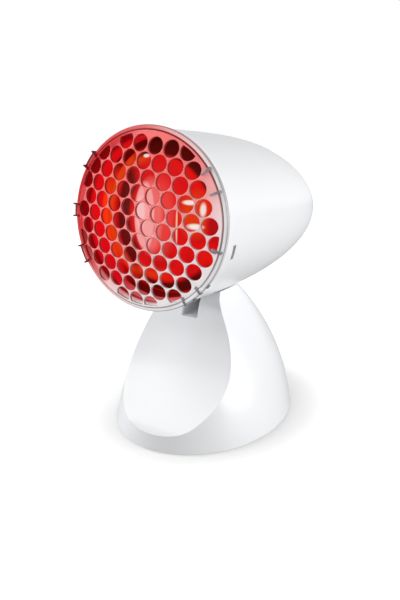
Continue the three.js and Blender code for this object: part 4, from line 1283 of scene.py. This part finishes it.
@dataclass
class Grille:
    """Clear domed grille with a honeycomb of round holes."""

    ring_radius: float = 54.0
    step_radius: float = 51.5
    rise: float = 7.4
    sag: float = 7.6
    thickness: float = 1.8
    pitch: float = 10.44
    hole_radius: float = 4.78
    hole_limit: float = 50.0
    hole_margin: float = 0.2
    hole_turn_degrees: float = -8.4
    hole_shift: Pair = (-3.64, -1.53)
    hole_rows: int = 7
    hole_sides: int = 28
    border_gap: float = 0.3
    border_sides: int = 120
    edge_round: float = 0.45
    edge_steps: int = 2
    wall_gain: float = 3.2
    weld_distance: float = 0.01

    def hole_outlines(self) -> list[np.ndarray]:
        """Outlines of the holes in front view, a honeycomb clipped by the border circle.

        Returns:
            One array of points for each hole, in millimetres.
        """
        turn = math.radians(self.hole_turn_degrees)
        count = np.arange(-self.hole_rows, self.hole_rows + 1)
        column, row = np.meshgrid(count, count)
        u = (column + (row % 2) / 2) * self.pitch
        v = row * self.pitch * math.sqrt(3) / 2
        x = self.hole_shift[0] + u * math.cos(turn) - v * math.sin(turn)
        z = self.hole_shift[1] + u * math.sin(turn) + v * math.cos(turn)
        keep = np.hypot(x, z) < self.hole_limit - self.hole_margin
        outlines = []
        for middle in zip(x[keep], z[keep]):
            points = middle + circle(self.hole_radius, self.hole_sides)
            outlines.append(points * np.minimum(1, self.hole_limit / np.hypot(*points.T))[:, None])
        return outlines

    def swell(self, outline: np.ndarray) -> np.ndarray:
        """Outline moved outwards by the edge rounding, so that the finished hole keeps its size.

        Args:
            outline: Points of the hole's outline.

        Returns:
            The points of the grown outline.
        """
        middle = outline.mean(0)
        away = outline - middle
        return middle + away * (1 + self.edge_round / np.linalg.norm(away, axis=1))[:, None]

    def flat_plate(self) -> bpy.types.Mesh:
        """Flat pierced plate with rounded edges, as a mesh.

        Returns:
            The mesh, in metres, with the front view in X and Y and its depth in Z.
        """
        curve = bpy.data.curves.new("grille_plate", "CURVE")
        curve.dimensions, curve.fill_mode = "2D", "BOTH"
        curve.extrude = (self.thickness / 2 - self.edge_round) * MM
        curve.bevel_depth, curve.bevel_resolution = self.edge_round * MM, self.edge_steps
        border = circle(self.step_radius - self.border_gap - self.edge_round, self.border_sides)
        for outline in [border, *map(self.swell, self.hole_outlines())]:
            spline = curve.splines.new("POLY")
            spline.points.add(len(outline) - 1)
            flat = np.column_stack([outline * MM, np.zeros(len(outline)), np.ones(len(outline))])
            spline.points.foreach_set("co", flat.ravel())
            spline.use_cyclic_u = True
        source = link_thing("grille_plate", curve)
        graph = bpy.context.evaluated_depsgraph_get()
        mesh = bpy.data.meshes.new_from_object(source.evaluated_get(graph))
        bpy.data.objects.remove(source)
        return mesh

    def build(self, finishes: Finishes) -> None:
        """Make the grille: the pierced plate bent into a shallow dome.

        Each point moves forward by rise less sag times the square of its share of the radius. The
        attribute wall grows from 0 on both faces to 1 inside the holes.

        Args:
            finishes: Materials of the lamp.
        """
        mesh = self.flat_plate()
        flat = np.empty(len(mesh.vertices) * 3)
        mesh.vertices.foreach_get("co", flat)
        x, z, depth = (flat.reshape(-1, 3) / MM).T
        dome = self.rise - self.sag * (x ** 2 + z ** 2) / self.ring_radius ** 2
        station = self.thickness / 2 - depth - dome
        mesh.vertices.foreach_set("co", AXIS.to_object(np.stack([x, station, z], -1)).ravel())
        mesh.name = "domed_grille"
        # The attribute wall tells the grille's finish where to paint shade on the hole walls.
        wall = mesh.attributes.new("wall", "FLOAT", "POINT")
        depth_share = np.abs(depth) / (self.thickness / 2)
        wall.data.foreach_set("value", np.clip((1 - depth_share) * self.wall_gain, 0, 1).astype(np.float32))
        grille = link_thing("domed_grille", mesh)
        grille.modifiers.new("weld", "WELD").merge_threshold = self.weld_distance * MM
        settle(grille)
        point_outwards(grille)
        soften(grille, sharp_degrees=50)
        finishes.finish_piece(grille, "clear_grille", Body.GUARD, "clear_plastic", "grille")


@dataclass
class GuardRing:
    """Clear ring that clips the grille to the head.

    Angles are in degrees, counterclockwise from the right. A bar's section is its two radii and the
    two stations between which it lies.
    """

    grille: Grille
    front: float = 0.1
    corners: tuple[Pair, ...] = ((53.2, 0.0), (54.0, 0.8), (54.0, 2.9), (50.2, 2.9), (50.2, 7.9), (49.2, 7.9))
    lip_gap: float = 0.3
    corner_round: float = 0.45
    sides: int = 180
    clips: tuple[Pair, ...] = ((140.7, 6.0), (176.6, 4.3), (-153.4, 6.2))
    clip_section: Section = ((53.3, 55.1), (0.5, 4.4))
    clip_edge_section: Section = ((50.4, 55.0), (-1.6, 0.5))
    clip_edge_inset: float = 0.4
    clip_edge_half: float = 0.45
    ribs: tuple[float, ...] = (36.3, 21.6, -14.4)
    rib_section: Section = ((47.0, 53.4), (-2.4, 0.2))
    rib_half: float = 0.75
    tongue: Pair = (-50.0, 9.5)
    tongue_section: Section = ((51.5, 53.5), (-1.6, 0.2))
    hooks: tuple[float, ...] = (-56.6, -43.4)
    hook_section: Section = ((49.4, 54.8), (-2.2, 0.2))
    tip_section: Section = ((53.8, 55.0), (-0.4, 1.2))
    tip_turn: float = 6.2
    tip_half: float = 1.3
    bar_steps: int = 9
    bar_round: float = 0.25

    def build(self, finishes: Finishes) -> None:
        """Make the ring with its skirt, ribs, clips and latch.

        Args:
            finishes: Materials of the lamp.
        """
        plate = self.grille
        lip = (-plate.rise + plate.sag * (plate.step_radius / plate.ring_radius) ** 2 + plate.thickness
               + self.lip_gap)
        profile = rounded([(plate.step_radius, self.front), *self.corners, (self.corners[-1][0], lip),
                           (plate.step_radius, lip)], self.corner_round)
        ring = turned("grille_rim", profile, AXIS.to_object, self.sides)
        soften(ring, sharp_degrees=50)
        finishes.finish_piece(ring, "clear_ring", Body.GUARD, "clear_plastic", "grille_ring")
        for number, (middle, half) in enumerate(self.clips, 1):
            self.bar(f"ring_clip_{number}", middle, half, self.clip_section, finishes)
            for letter, side in (("a", -1), ("b", 1)):
                self.bar(f"clip_edge_{number}_{letter}", middle + side * (half - self.clip_edge_inset),
                         self.clip_edge_half, self.clip_edge_section, finishes)
        for number, middle in enumerate(self.ribs, 1):
            self.bar(f"ring_rib_{number}", middle, self.rib_half, self.rib_section, finishes)
        self.bar("latch_tongue", *self.tongue, self.tongue_section, finishes, "clear_ring")
        for number, middle in enumerate(self.hooks, 1):
            self.bar(f"latch_hook_{number}", middle, self.rib_half, self.hook_section, finishes)
            self.bar(f"latch_tip_{number}", middle + self.tip_turn, self.tip_half, self.tip_section, finishes)

    def bar(self, name: str, middle: float, half: float, section: Section, finishes: Finishes,
            finish: str = "ring_detail") -> None:
        """Short curved bar of the ring.

        Args:
            name: Name of the piece.
            middle: Angle of its middle.
            half: Half of the angle that it spans.
            section: Its radii and stations.
            finishes: Materials of the lamp.
            finish: Name of its finish.
        """
        (inner, outer), (front, back) = section
        angle = np.radians(np.linspace(middle - half, middle + half, self.bar_steps))[:, None]
        radius, station = np.array([(inner, front), (outer, front), (outer, back), (inner, back)]).T
        grid = np.stack([radius * np.cos(angle), station + 0 * angle, radius * np.sin(angle)], -1)
        piece = prism(name, AXIS.to_object(grid))
        soften(piece, self.bar_round, sharp_degrees=40)
        finishes.finish_piece(piece, finish, Body.GUARD, "clear_plastic")


@dataclass
class Base:
    """White flared base with its scooped front, the saddle under the head and the lined slot.

    Depths run back from the grille's rim and levels up from the table.
    """

    casing: Casing
    half_width: float = 62.1
    half_width_terms: tuple[float, ...] = (-0.309, -0.291, -0.148)
    middle: float = 71.5
    middle_terms: tuple[float, ...] = (0.165, -0.203)
    front: float = 76.5
    front_terms: tuple[float, ...] = (-0.071, -0.284)
    rear: float = 76.4
    rear_terms: tuple[float, ...] = (-0.174, -0.503)
    unit_level: float = 100.0
    top: float = 98.0
    wall: float = 2.4
    foot_gap: float = 0.9
    space_low: float = -8.0
    fine: tuple[int, int] = (60, 180)
    coarse: tuple[int, int] = (40, 120)
    pivot: Pair = (92.0, 86.0)
    tip_degrees: float = 20.0
    saddle_gap: float = 1.3
    slot_half_width: float = 6.5
    slot_cheek: float = 2.7
    slot_depths: Pair = (-3.0, 102.4)
    slot_levels: Pair = (76.8, 104.0)
    liner_depths: Pair = (40.0, 104.8)
    liner_levels: Pair = (74.4, 97.0)
    liner_gap: float = 0.1
    liner_round: float = 0.25
    window: Corners = ((-2.3, 85.7, 70.0), (2.3, 98.3, 80.0))
    axle_radius: float = 2.8
    axle_reach: Pair = (-20.0, 20.0)
    lead_radius: float = 3.0
    lead_place: Place = (0.0, 72.5, 0.0)
    lead_reach: Pair = (70.0, 80.0)
    scoop_reach: tuple[float, ...] = (-20.4, -3, 2.3, 7.4, 12.9, 19.4, 27, 33.6, 36.9, 39.6, 42.5, 44.5,
                                      46.3, 48.3, 51, 55, 63.7)
    scoop_rise: tuple[float, ...] = (7.2, 10.5, 13, 17.3, 22.8, 28.5, 36.4, 44.2, 51.2, 57.2, 64.1, 70.8,
                                     78.1, 85.2, 90.4, 94, 99)
    scoop_edge: tuple[float, ...] = (16, 18, 21, 27.9, 32.7, 36.8, 39.5, 40.2, 38.9, 37.4, 35, 32.2,
                                     28.6, 24.6, 21.6, 19.6, 18)
    scoop_hollow: tuple[float, ...] = (0, 0, 0.13, 0.4, 0.8, 1.3, 1.95, 2.5, 2.6, 2.6, 2.5, 2.2, 1.8,
                                       1.3, 1.0, 0.8, 0.8)
    scoop_lean_degrees: float = 53.0
    scoop_counts: tuple[int, int] = (97, 49)
    scoop_smoothing: tuple[int, int] = (4, 2)
    scoop_power: float = 2.2
    scoop_side: float = 75.0
    scoop_depth: float = 176.0

    def section(self, level: np.ndarray) -> list[np.ndarray]:
        """Half width, middle, front and rear reach of the outline at levels over the table.

        Each is its size at the table times a polynomial of the level.

        Args:
            level: Heights, in millimetres.

        Returns:
            The four sizes, in millimetres.
        """
        u = level / self.unit_level
        sizes = (self.half_width, self.middle, self.front, self.rear)
        all_terms = (self.half_width_terms, self.middle_terms, self.front_terms, self.rear_terms)
        return [size * (1 + sum(term * u ** power for power, term in enumerate(terms, 1)))
                for size, terms in zip(sizes, all_terms)]

    def back_place(self, level: float, step: float = 5.0) -> Mover:
        """Frame on the back of the base: outward along Y and up along the wall.

        Args:
            level: Height of its origin on the wall.
            step: How far above and below the wall's lean is taken.

        Returns:
            Function from that frame, in millimetres, to object space.
        """
        _, middle, _, rear = self.section(np.array([level - step, level, level + step]))
        below, here, above = (middle + rear).tolist()
        return tipped((here, level), math.degrees(math.atan2(below - above, 2 * step)))

    def form(self, name: str, inset: float, low: float, counts: tuple[int, int]) -> Thing:
        """Closed body of the flare: ovals whose front and rear halves differ.

        Args:
            name: Name of the object.
            inset: How far it is drawn in.
            low: Its lowest level.
            counts: Number of ovals, and of points in each.

        Returns:
            The body.
        """
        rows, sides = counts
        level = np.linspace(low, self.top, rows)[:, None]
        half, middle, front, rear = self.section(level)
        angle = np.linspace(0, 2 * np.pi, sides, endpoint=False)[None]
        reach = np.where(np.sin(angle) < 0, front, rear) - inset
        grid = np.stack([(half - inset) * np.cos(angle), middle + reach * np.sin(angle),
                         np.repeat(level, sides, 1)], -1)
        return ring_body(name, to_object(grid))

    def scoop(self, inset: float) -> Thing:
        """Body in front of the scooped face, ruled across and hollowed between its ridges.

        Across a row the hollow is its depth times one less a power of the share of the half width.

        Args:
            inset: How far it is moved into the base.

        Returns:
            The body.
        """
        lean = math.radians(self.scoop_lean_degrees)
        inward = np.array([0.0, math.sin(lean), -math.cos(lean)])
        rows, columns = self.scoop_counts
        knots = np.arange(len(self.scoop_reach))
        fine = np.linspace(0, knots[-1], rows)
        depth, rise, edge, hollow = [
            smoothed(np.interp(fine, knots, values), *self.scoop_smoothing)[:, None]
            for values in (self.scoop_reach, self.scoop_rise, self.scoop_edge, self.scoop_hollow)]
        at = np.linspace(-1, 1, columns)[None]
        row = np.stack([at * edge, depth + 0 * at, rise + 0 * at], -1)
        row = row + inward * (hollow * (1 - np.abs(at) ** self.scoop_power))[..., None]
        left, right = [np.stack([np.full((rows, 1), side * self.scoop_side), depth, rise], -1)
                       for side in (-1, 1)]
        face = np.concatenate([left, row, right], 1) + inward * inset
        outer = face - inward * self.scoop_depth
        return ring_body("scoop_cut", to_object(np.concatenate([face[:, ::-1], outer], 1)))

    def flare(self, name: str, inset: float, low: float, counts: tuple[int, int]) -> Thing:
        """Flare with its scoop and the saddle that the tipping head sweeps.

        Args:
            name: Name of the object.
            inset: How far it is drawn in.
            low: Its lowest level.
            counts: Number of ovals, and of points in each.

        Returns:
            The body.
        """
        body = self.form(name, inset, low, counts)
        carve(body, [self.scoop(inset), *[self.casing.sweep(self.saddle_gap + inset, self.pivot, tip)
                                          for tip in (0.0, self.tip_degrees)]])
        return body

    def across(self, name: str, half_width: float, depths: Pair, levels: Pair) -> Thing:
        """Box across the middle of the base.

        Args:
            name: Name of the object.
            half_width: Half of its width.
            depths: Where it starts and ends from front to back.
            levels: Where it starts and ends over the table.

        Returns:
            The box.
        """
        low, high = zip((-half_width, half_width), depths, levels)
        return box_body(name, low, high)

    def build_shell(self, finishes: Finishes, openings: Sequence[Thing]) -> None:
        """Make the white shell: the flare less the space inside it and its openings.

        Args:
            finishes: Materials of the lamp.
            openings: Bodies that cut the openings on the back.
        """
        shell = self.flare("base_casing", 0.0, self.foot_gap, self.fine)
        space = self.flare("base_space", self.wall, self.space_low, self.coarse)
        slot = self.across("slot_cut", self.slot_half_width, self.slot_depths, self.slot_levels)
        carve(shell, [space, slot, *openings])
        soften(shell, sharp_degrees=28)
        finishes.finish_piece(shell, "white_casing", Body.BASE, "white_shell", "base_shell")

    def build_slot(self, finishes: Finishes) -> None:
        """Make the frame that lines the slot, with its window, axle bores and lead hole.

        Args:
            finishes: Materials of the lamp.
        """
        liner = self.across("slot_liner", self.slot_half_width + self.slot_cheek, self.liner_depths,
                            self.liner_levels)
        axle_place = swapped(CROSSWISE, (0.0, *self.pivot))
        lead_place = swapped(UPRIGHT, self.lead_place)
        carve(liner, [self.across("liner_cut", self.slot_half_width, self.slot_depths, self.slot_levels),
                      box_body("window_cut", *self.window),
                      rod("axle_cut", self.axle_radius, self.axle_reach, axle_place),
                      rod("lead_cut", self.lead_radius, self.lead_reach, lead_place)])
        limit = self.flare("liner_limit", self.wall + self.liner_gap, self.space_low, self.coarse)
        carve(liner, [limit], "INTERSECT")
        soften(liner, self.liner_round, sharp_degrees=40)
        finishes.finish_piece(liner, "white_casing", Body.BASE, "white_shell", "slot_frame")


@dataclass
class BackFittings:
    """Rocker switch and cord gland on the back of the base, in frames that lie on its wall.

    A box is given as its half width, where it starts and ends outwards, and its half height.
    """

    base: Base
    switch_level: float = 34.0
    opening: Block = (10.8, (-13.0, 8.0), 7.1)
    case: Block = (10.5, (-13.0, 1.6), 6.8)
    rim: Block = (12.3, (0.3, 1.9), 8.6)
    hollow: Block = (9.1, (-11.6, 8.0), 5.4)
    case_round: float = 0.3
    key: tuple[Pair, ...] = ((-3.4, -2.3), (0.6, -4.6), (1.3, 0.0), (2.6, 4.6), (-3.4, 2.3))
    key_half_width: float = 8.8
    key_round: float = 0.35
    gland_level: float = 13.0
    gland_hole_radius: float = 4.7
    gland_hole_reach: Pair = (-8.0, 8.0)
    gland: tuple[Pair, ...] = ((2.3, 2.5), (6.4, 2.5), (6.4, 0.3), (4.4, 0.3), (4.4, -6.4), (2.3, -6.4))
    gland_round: float = 0.6
    gland_sides: int = 64

    def box(self, name: str, block: Block) -> Thing:
        """Box in the switch's frame.

        Args:
            name: Name of the object.
            block: Its half width, outward reach and half height.

        Returns:
            The box.
        """
        half_width, reach, half_height = block
        low, high = zip((-half_width, half_width), reach, (-half_height, half_height))
        return box_body(name, low, high, self.base.back_place(self.switch_level))

    def openings(self) -> list[Thing]:
        """Bodies that cut the openings for the switch and the gland."""
        return [self.box("switch_cut", self.opening),
                rod("gland_cut", self.gland_hole_radius, self.gland_hole_reach,
                    self.base.back_place(self.gland_level))]

    def build(self, finishes: Finishes) -> None:
        """Make the switch housing, its rocker and the cord gland.

        Args:
            finishes: Materials of the lamp.
        """
        switch_place = self.base.back_place(self.switch_level)
        housing = self.box("switch_case", self.case)
        carve(housing, [self.box("switch_rim", self.rim)], "UNION")
        carve(housing, [self.box("switch_hollow", self.hollow)])
        soften(housing, self.case_round)
        finishes.finish_piece(housing, "black_moulding", Body.BASE, "black_plastic", "switch_housing")
        rocker = plate_body("switch_key", self.key, self.key_half_width, switch_place)
        soften(rocker, self.key_round)
        finishes.finish_piece(rocker, "black_moulding", Body.ROCKER, "black_plastic", "switch_rocker")
        gland = turned("lead_gland", rounded(self.gland, self.gland_round),
                       self.base.back_place(self.gland_level), self.gland_sides)
        soften(gland, sharp_degrees=45)
        finishes.finish_piece(gland, "gray_moulding", Body.BASE, "gray_plastic", "cord_gland")


@dataclass
class Feet:
    """Four rubber feet with rounded rims."""

    places: tuple[Pair, ...] = ((-36.0, 26.0), (36.0, 26.0), (-36.0, 112.0), (36.0, 112.0))
    radius: float = 7.0
    inner_radius: float = 0.5
    height: float = 1.9
    rim_round: float = 0.5
    sides: int = 48

    def build(self, finishes: Finishes) -> None:
        """Make the feet.

        Args:
            finishes: Materials of the lamp.
        """
        rim = rounded([(self.inner_radius, 0), (self.radius, 0), (self.radius, self.height),
                       (self.inner_radius, self.height)], self.rim_round)
        for number, place in enumerate(self.places, 1):
            foot = turned(f"foot_pad_{number}", [(0, 0), *rim, (0, self.height)],
                          swapped(UPRIGHT, (*place, 0.0)), self.sides)
            soften(foot, sharp_degrees=45)
            finishes.finish_piece(foot, "rubber", Body.BASE, "rubber", f"rubber_foot_{number}")


@dataclass
class InnerParts:
    """CAD nodes that keep their shape and only get a finish."""

    finish_of: dict[str, str] = field(default_factory=lambda: {
        "heat_shield": "shield_metal", "lamp_bracket": "steel", "socket_body": "porcelain",
        "bulb_insulator": "black_moulding", "bulb_stem": "clear_glass", "bulb_filament": "tungsten",
        "pivot_arm": "gray_moulding", "ballast_plate": "cast_iron", "detent_post": "aluminium",
        "base_plate": "gray_moulding", "terminal_block": "black_moulding"})
    finish_of_slot: dict[str, str] = field(default_factory=lambda: {
        "steel": "steel", "brass": "brass", "cable_sheath": "lead_sheath"})

    def dress(self, finishes: Finishes) -> None:
        """Give each node that stays its finish.

        Args:
            finishes: Materials of the lamp.
        """
        slots = {part["node"]: part["material_slot"] for part in frame["record"]["subparts"]}
        for node, slot in slots.items():
            name = self.finish_of.get(node) or self.finish_of_slot.get(slot)
            thing = bpy.data.objects.get(node)
            if name and thing:
                finishes.dress(thing, name)
                log.info("%s dressed as %s", node, name)


# Studio

@dataclass(frozen=True)
class Studio:
    """Camera, lamps, floor and world. Lamps are given as name, place in metres and watts."""

    camera_place: Place = (187.3, -254.0, 198.5)
    azimuth_degrees: float = 30.62
    pitch_degrees: float = 17.15
    lens: float = 32.4
    sensor: float = 36.0
    clip_start: float = 0.01
    clip_end: float = 50.0
    floor_half_side: float = 6.0
    floor_tone: float = 0.4
    floor_roughness: float = 0.9
    floor_lift: float = 0.49
    foot_middle: Pair = (0.0, -10.7)
    foot_half_size: Pair = (62.0, 76.4)
    shade_reach: float = 0.65
    world_light: float = 0.08
    world_shine: float = 0.8
    lamp_size: float = 0.9
    lamp_target: Place = (0.0, 0.0, 0.1)
    lamps: tuple[tuple[str, Place, float], ...] = (
        ("right_lamp", (1.3, 0.1, 0.35), 19.5), ("left_lamp", (-1.3, -0.2, 0.4), 8.5),
        ("low_lamp", (-0.9, -0.9, 0.4), 6.8), ("high_lamp", (-0.8, -0.6, 1.2), 8.8))

    def build(self) -> None:
        """Make everything that lights and frames the lamp."""
        self.build_camera()
        for name, place, power in self.lamps:
            self.build_lamp(name, place, power)
        self.build_floor()
        self.build_world()

    def build_camera(self) -> None:
        """Set the camera at the photograph's place and angle."""
        data = bpy.data.cameras.new("view")
        data.lens, data.sensor_width, data.sensor_fit = self.lens, self.sensor, "AUTO"
        data.clip_start, data.clip_end = self.clip_start, self.clip_end
        camera = link_thing("view", data)
        camera.location = to_object(self.camera_place).tolist()
        camera.rotation_euler = (math.radians(90 - self.pitch_degrees), 0, math.radians(self.azimuth_degrees))
        bpy.context.scene.camera = camera

    def build_lamp(self, name: str, place: Place, power: float) -> None:
        """Add a square soft lamp that faces the target.

        Args:
            name: Name of the lamp.
            place: Where it hangs, in metres.
            power: Its power in watts.
        """
        data = bpy.data.lights.new(name, "AREA")
        data.energy, data.size = power, self.lamp_size
        lamp = link_thing(name, data)
        lamp.location = place
        away = np.array(place) - np.array(self.lamp_target)
        away /= np.linalg.norm(away)
        lamp.rotation_euler = (math.acos(away[2]), 0, math.atan2(away[0], -away[1]))

    def build_floor(self) -> None:
        """Lay the pale floor, white to the camera but for a shade that fades out round the foot.

        The painted part of the shade, a lower white lift, follows the distance from an oval like the base's
        foot, as a share of its size; the real shadow shows through it.
        """
        corners = self.floor_half_side * np.array([[-1, -1, 0], [1, -1, 0], [1, 1, 0], [-1, 1, 0]])
        floor = make_mesh("floor", corners, [[0, 1, 2, 3]])
        paint = Painter("pale_floor")
        x, y, _ = paint.place()
        reach = paint.reach(*paint.oval(x, y, self.foot_middle, self.foot_half_size))
        far = paint.fade(reach, 1.0, self.shade_reach)
        lift = paint.math("ADD", paint.math("MULTIPLY", far, 1.0 - self.floor_lift), self.floor_lift)
        paint.shade({"Base Color": (self.floor_tone,) * 3, "Roughness": self.floor_roughness,
                     "Emission Color": WHITE, "Emission Strength": paint.product(lift, paint.seen())})
        floor.data.materials.append(paint.material)

    def build_world(self) -> None:
        """Set a white backdrop for what the camera sees and a softer light for the rest."""
        world = bpy.data.worlds.new("studio")
        bpy.context.scene.world = world
        world.use_nodes = True
        wiring = Wiring(world.node_tree)
        glossy = wiring.node("ShaderNodeLightPath").outputs["Is Glossy Ray"]
        light = wiring.math("MAXIMUM", wiring.seen(), wiring.math("MULTIPLY", glossy, self.world_shine))
        back = world.node_tree.nodes["Background"].inputs
        wiring.feed(back["Color"], WHITE)
        wiring.feed(back["Strength"], wiring.math("MAXIMUM", light, self.world_light))


def main() -> None:
    """Build the lamp and its studio."""
    logging.basicConfig(level=logging.INFO, format="%(name)s: %(message)s")
    bpy.context.scene.view_settings.view_transform = "Standard"
    finishes = Finishes()
    Studio().build()
    casing = Casing()
    casing.build(finishes)
    Bulb().build(finishes)
    grille = Grille()
    grille.build(finishes)
    GuardRing(grille).build(finishes)
    base = Base(casing)
    fittings = BackFittings(base)
    base.build_shell(finishes, fittings.openings())
    base.build_slot(finishes)
    fittings.build(finishes)
    Feet().build(finishes)
    InnerParts().dress(finishes)


if __name__ == "__main__":
    main()
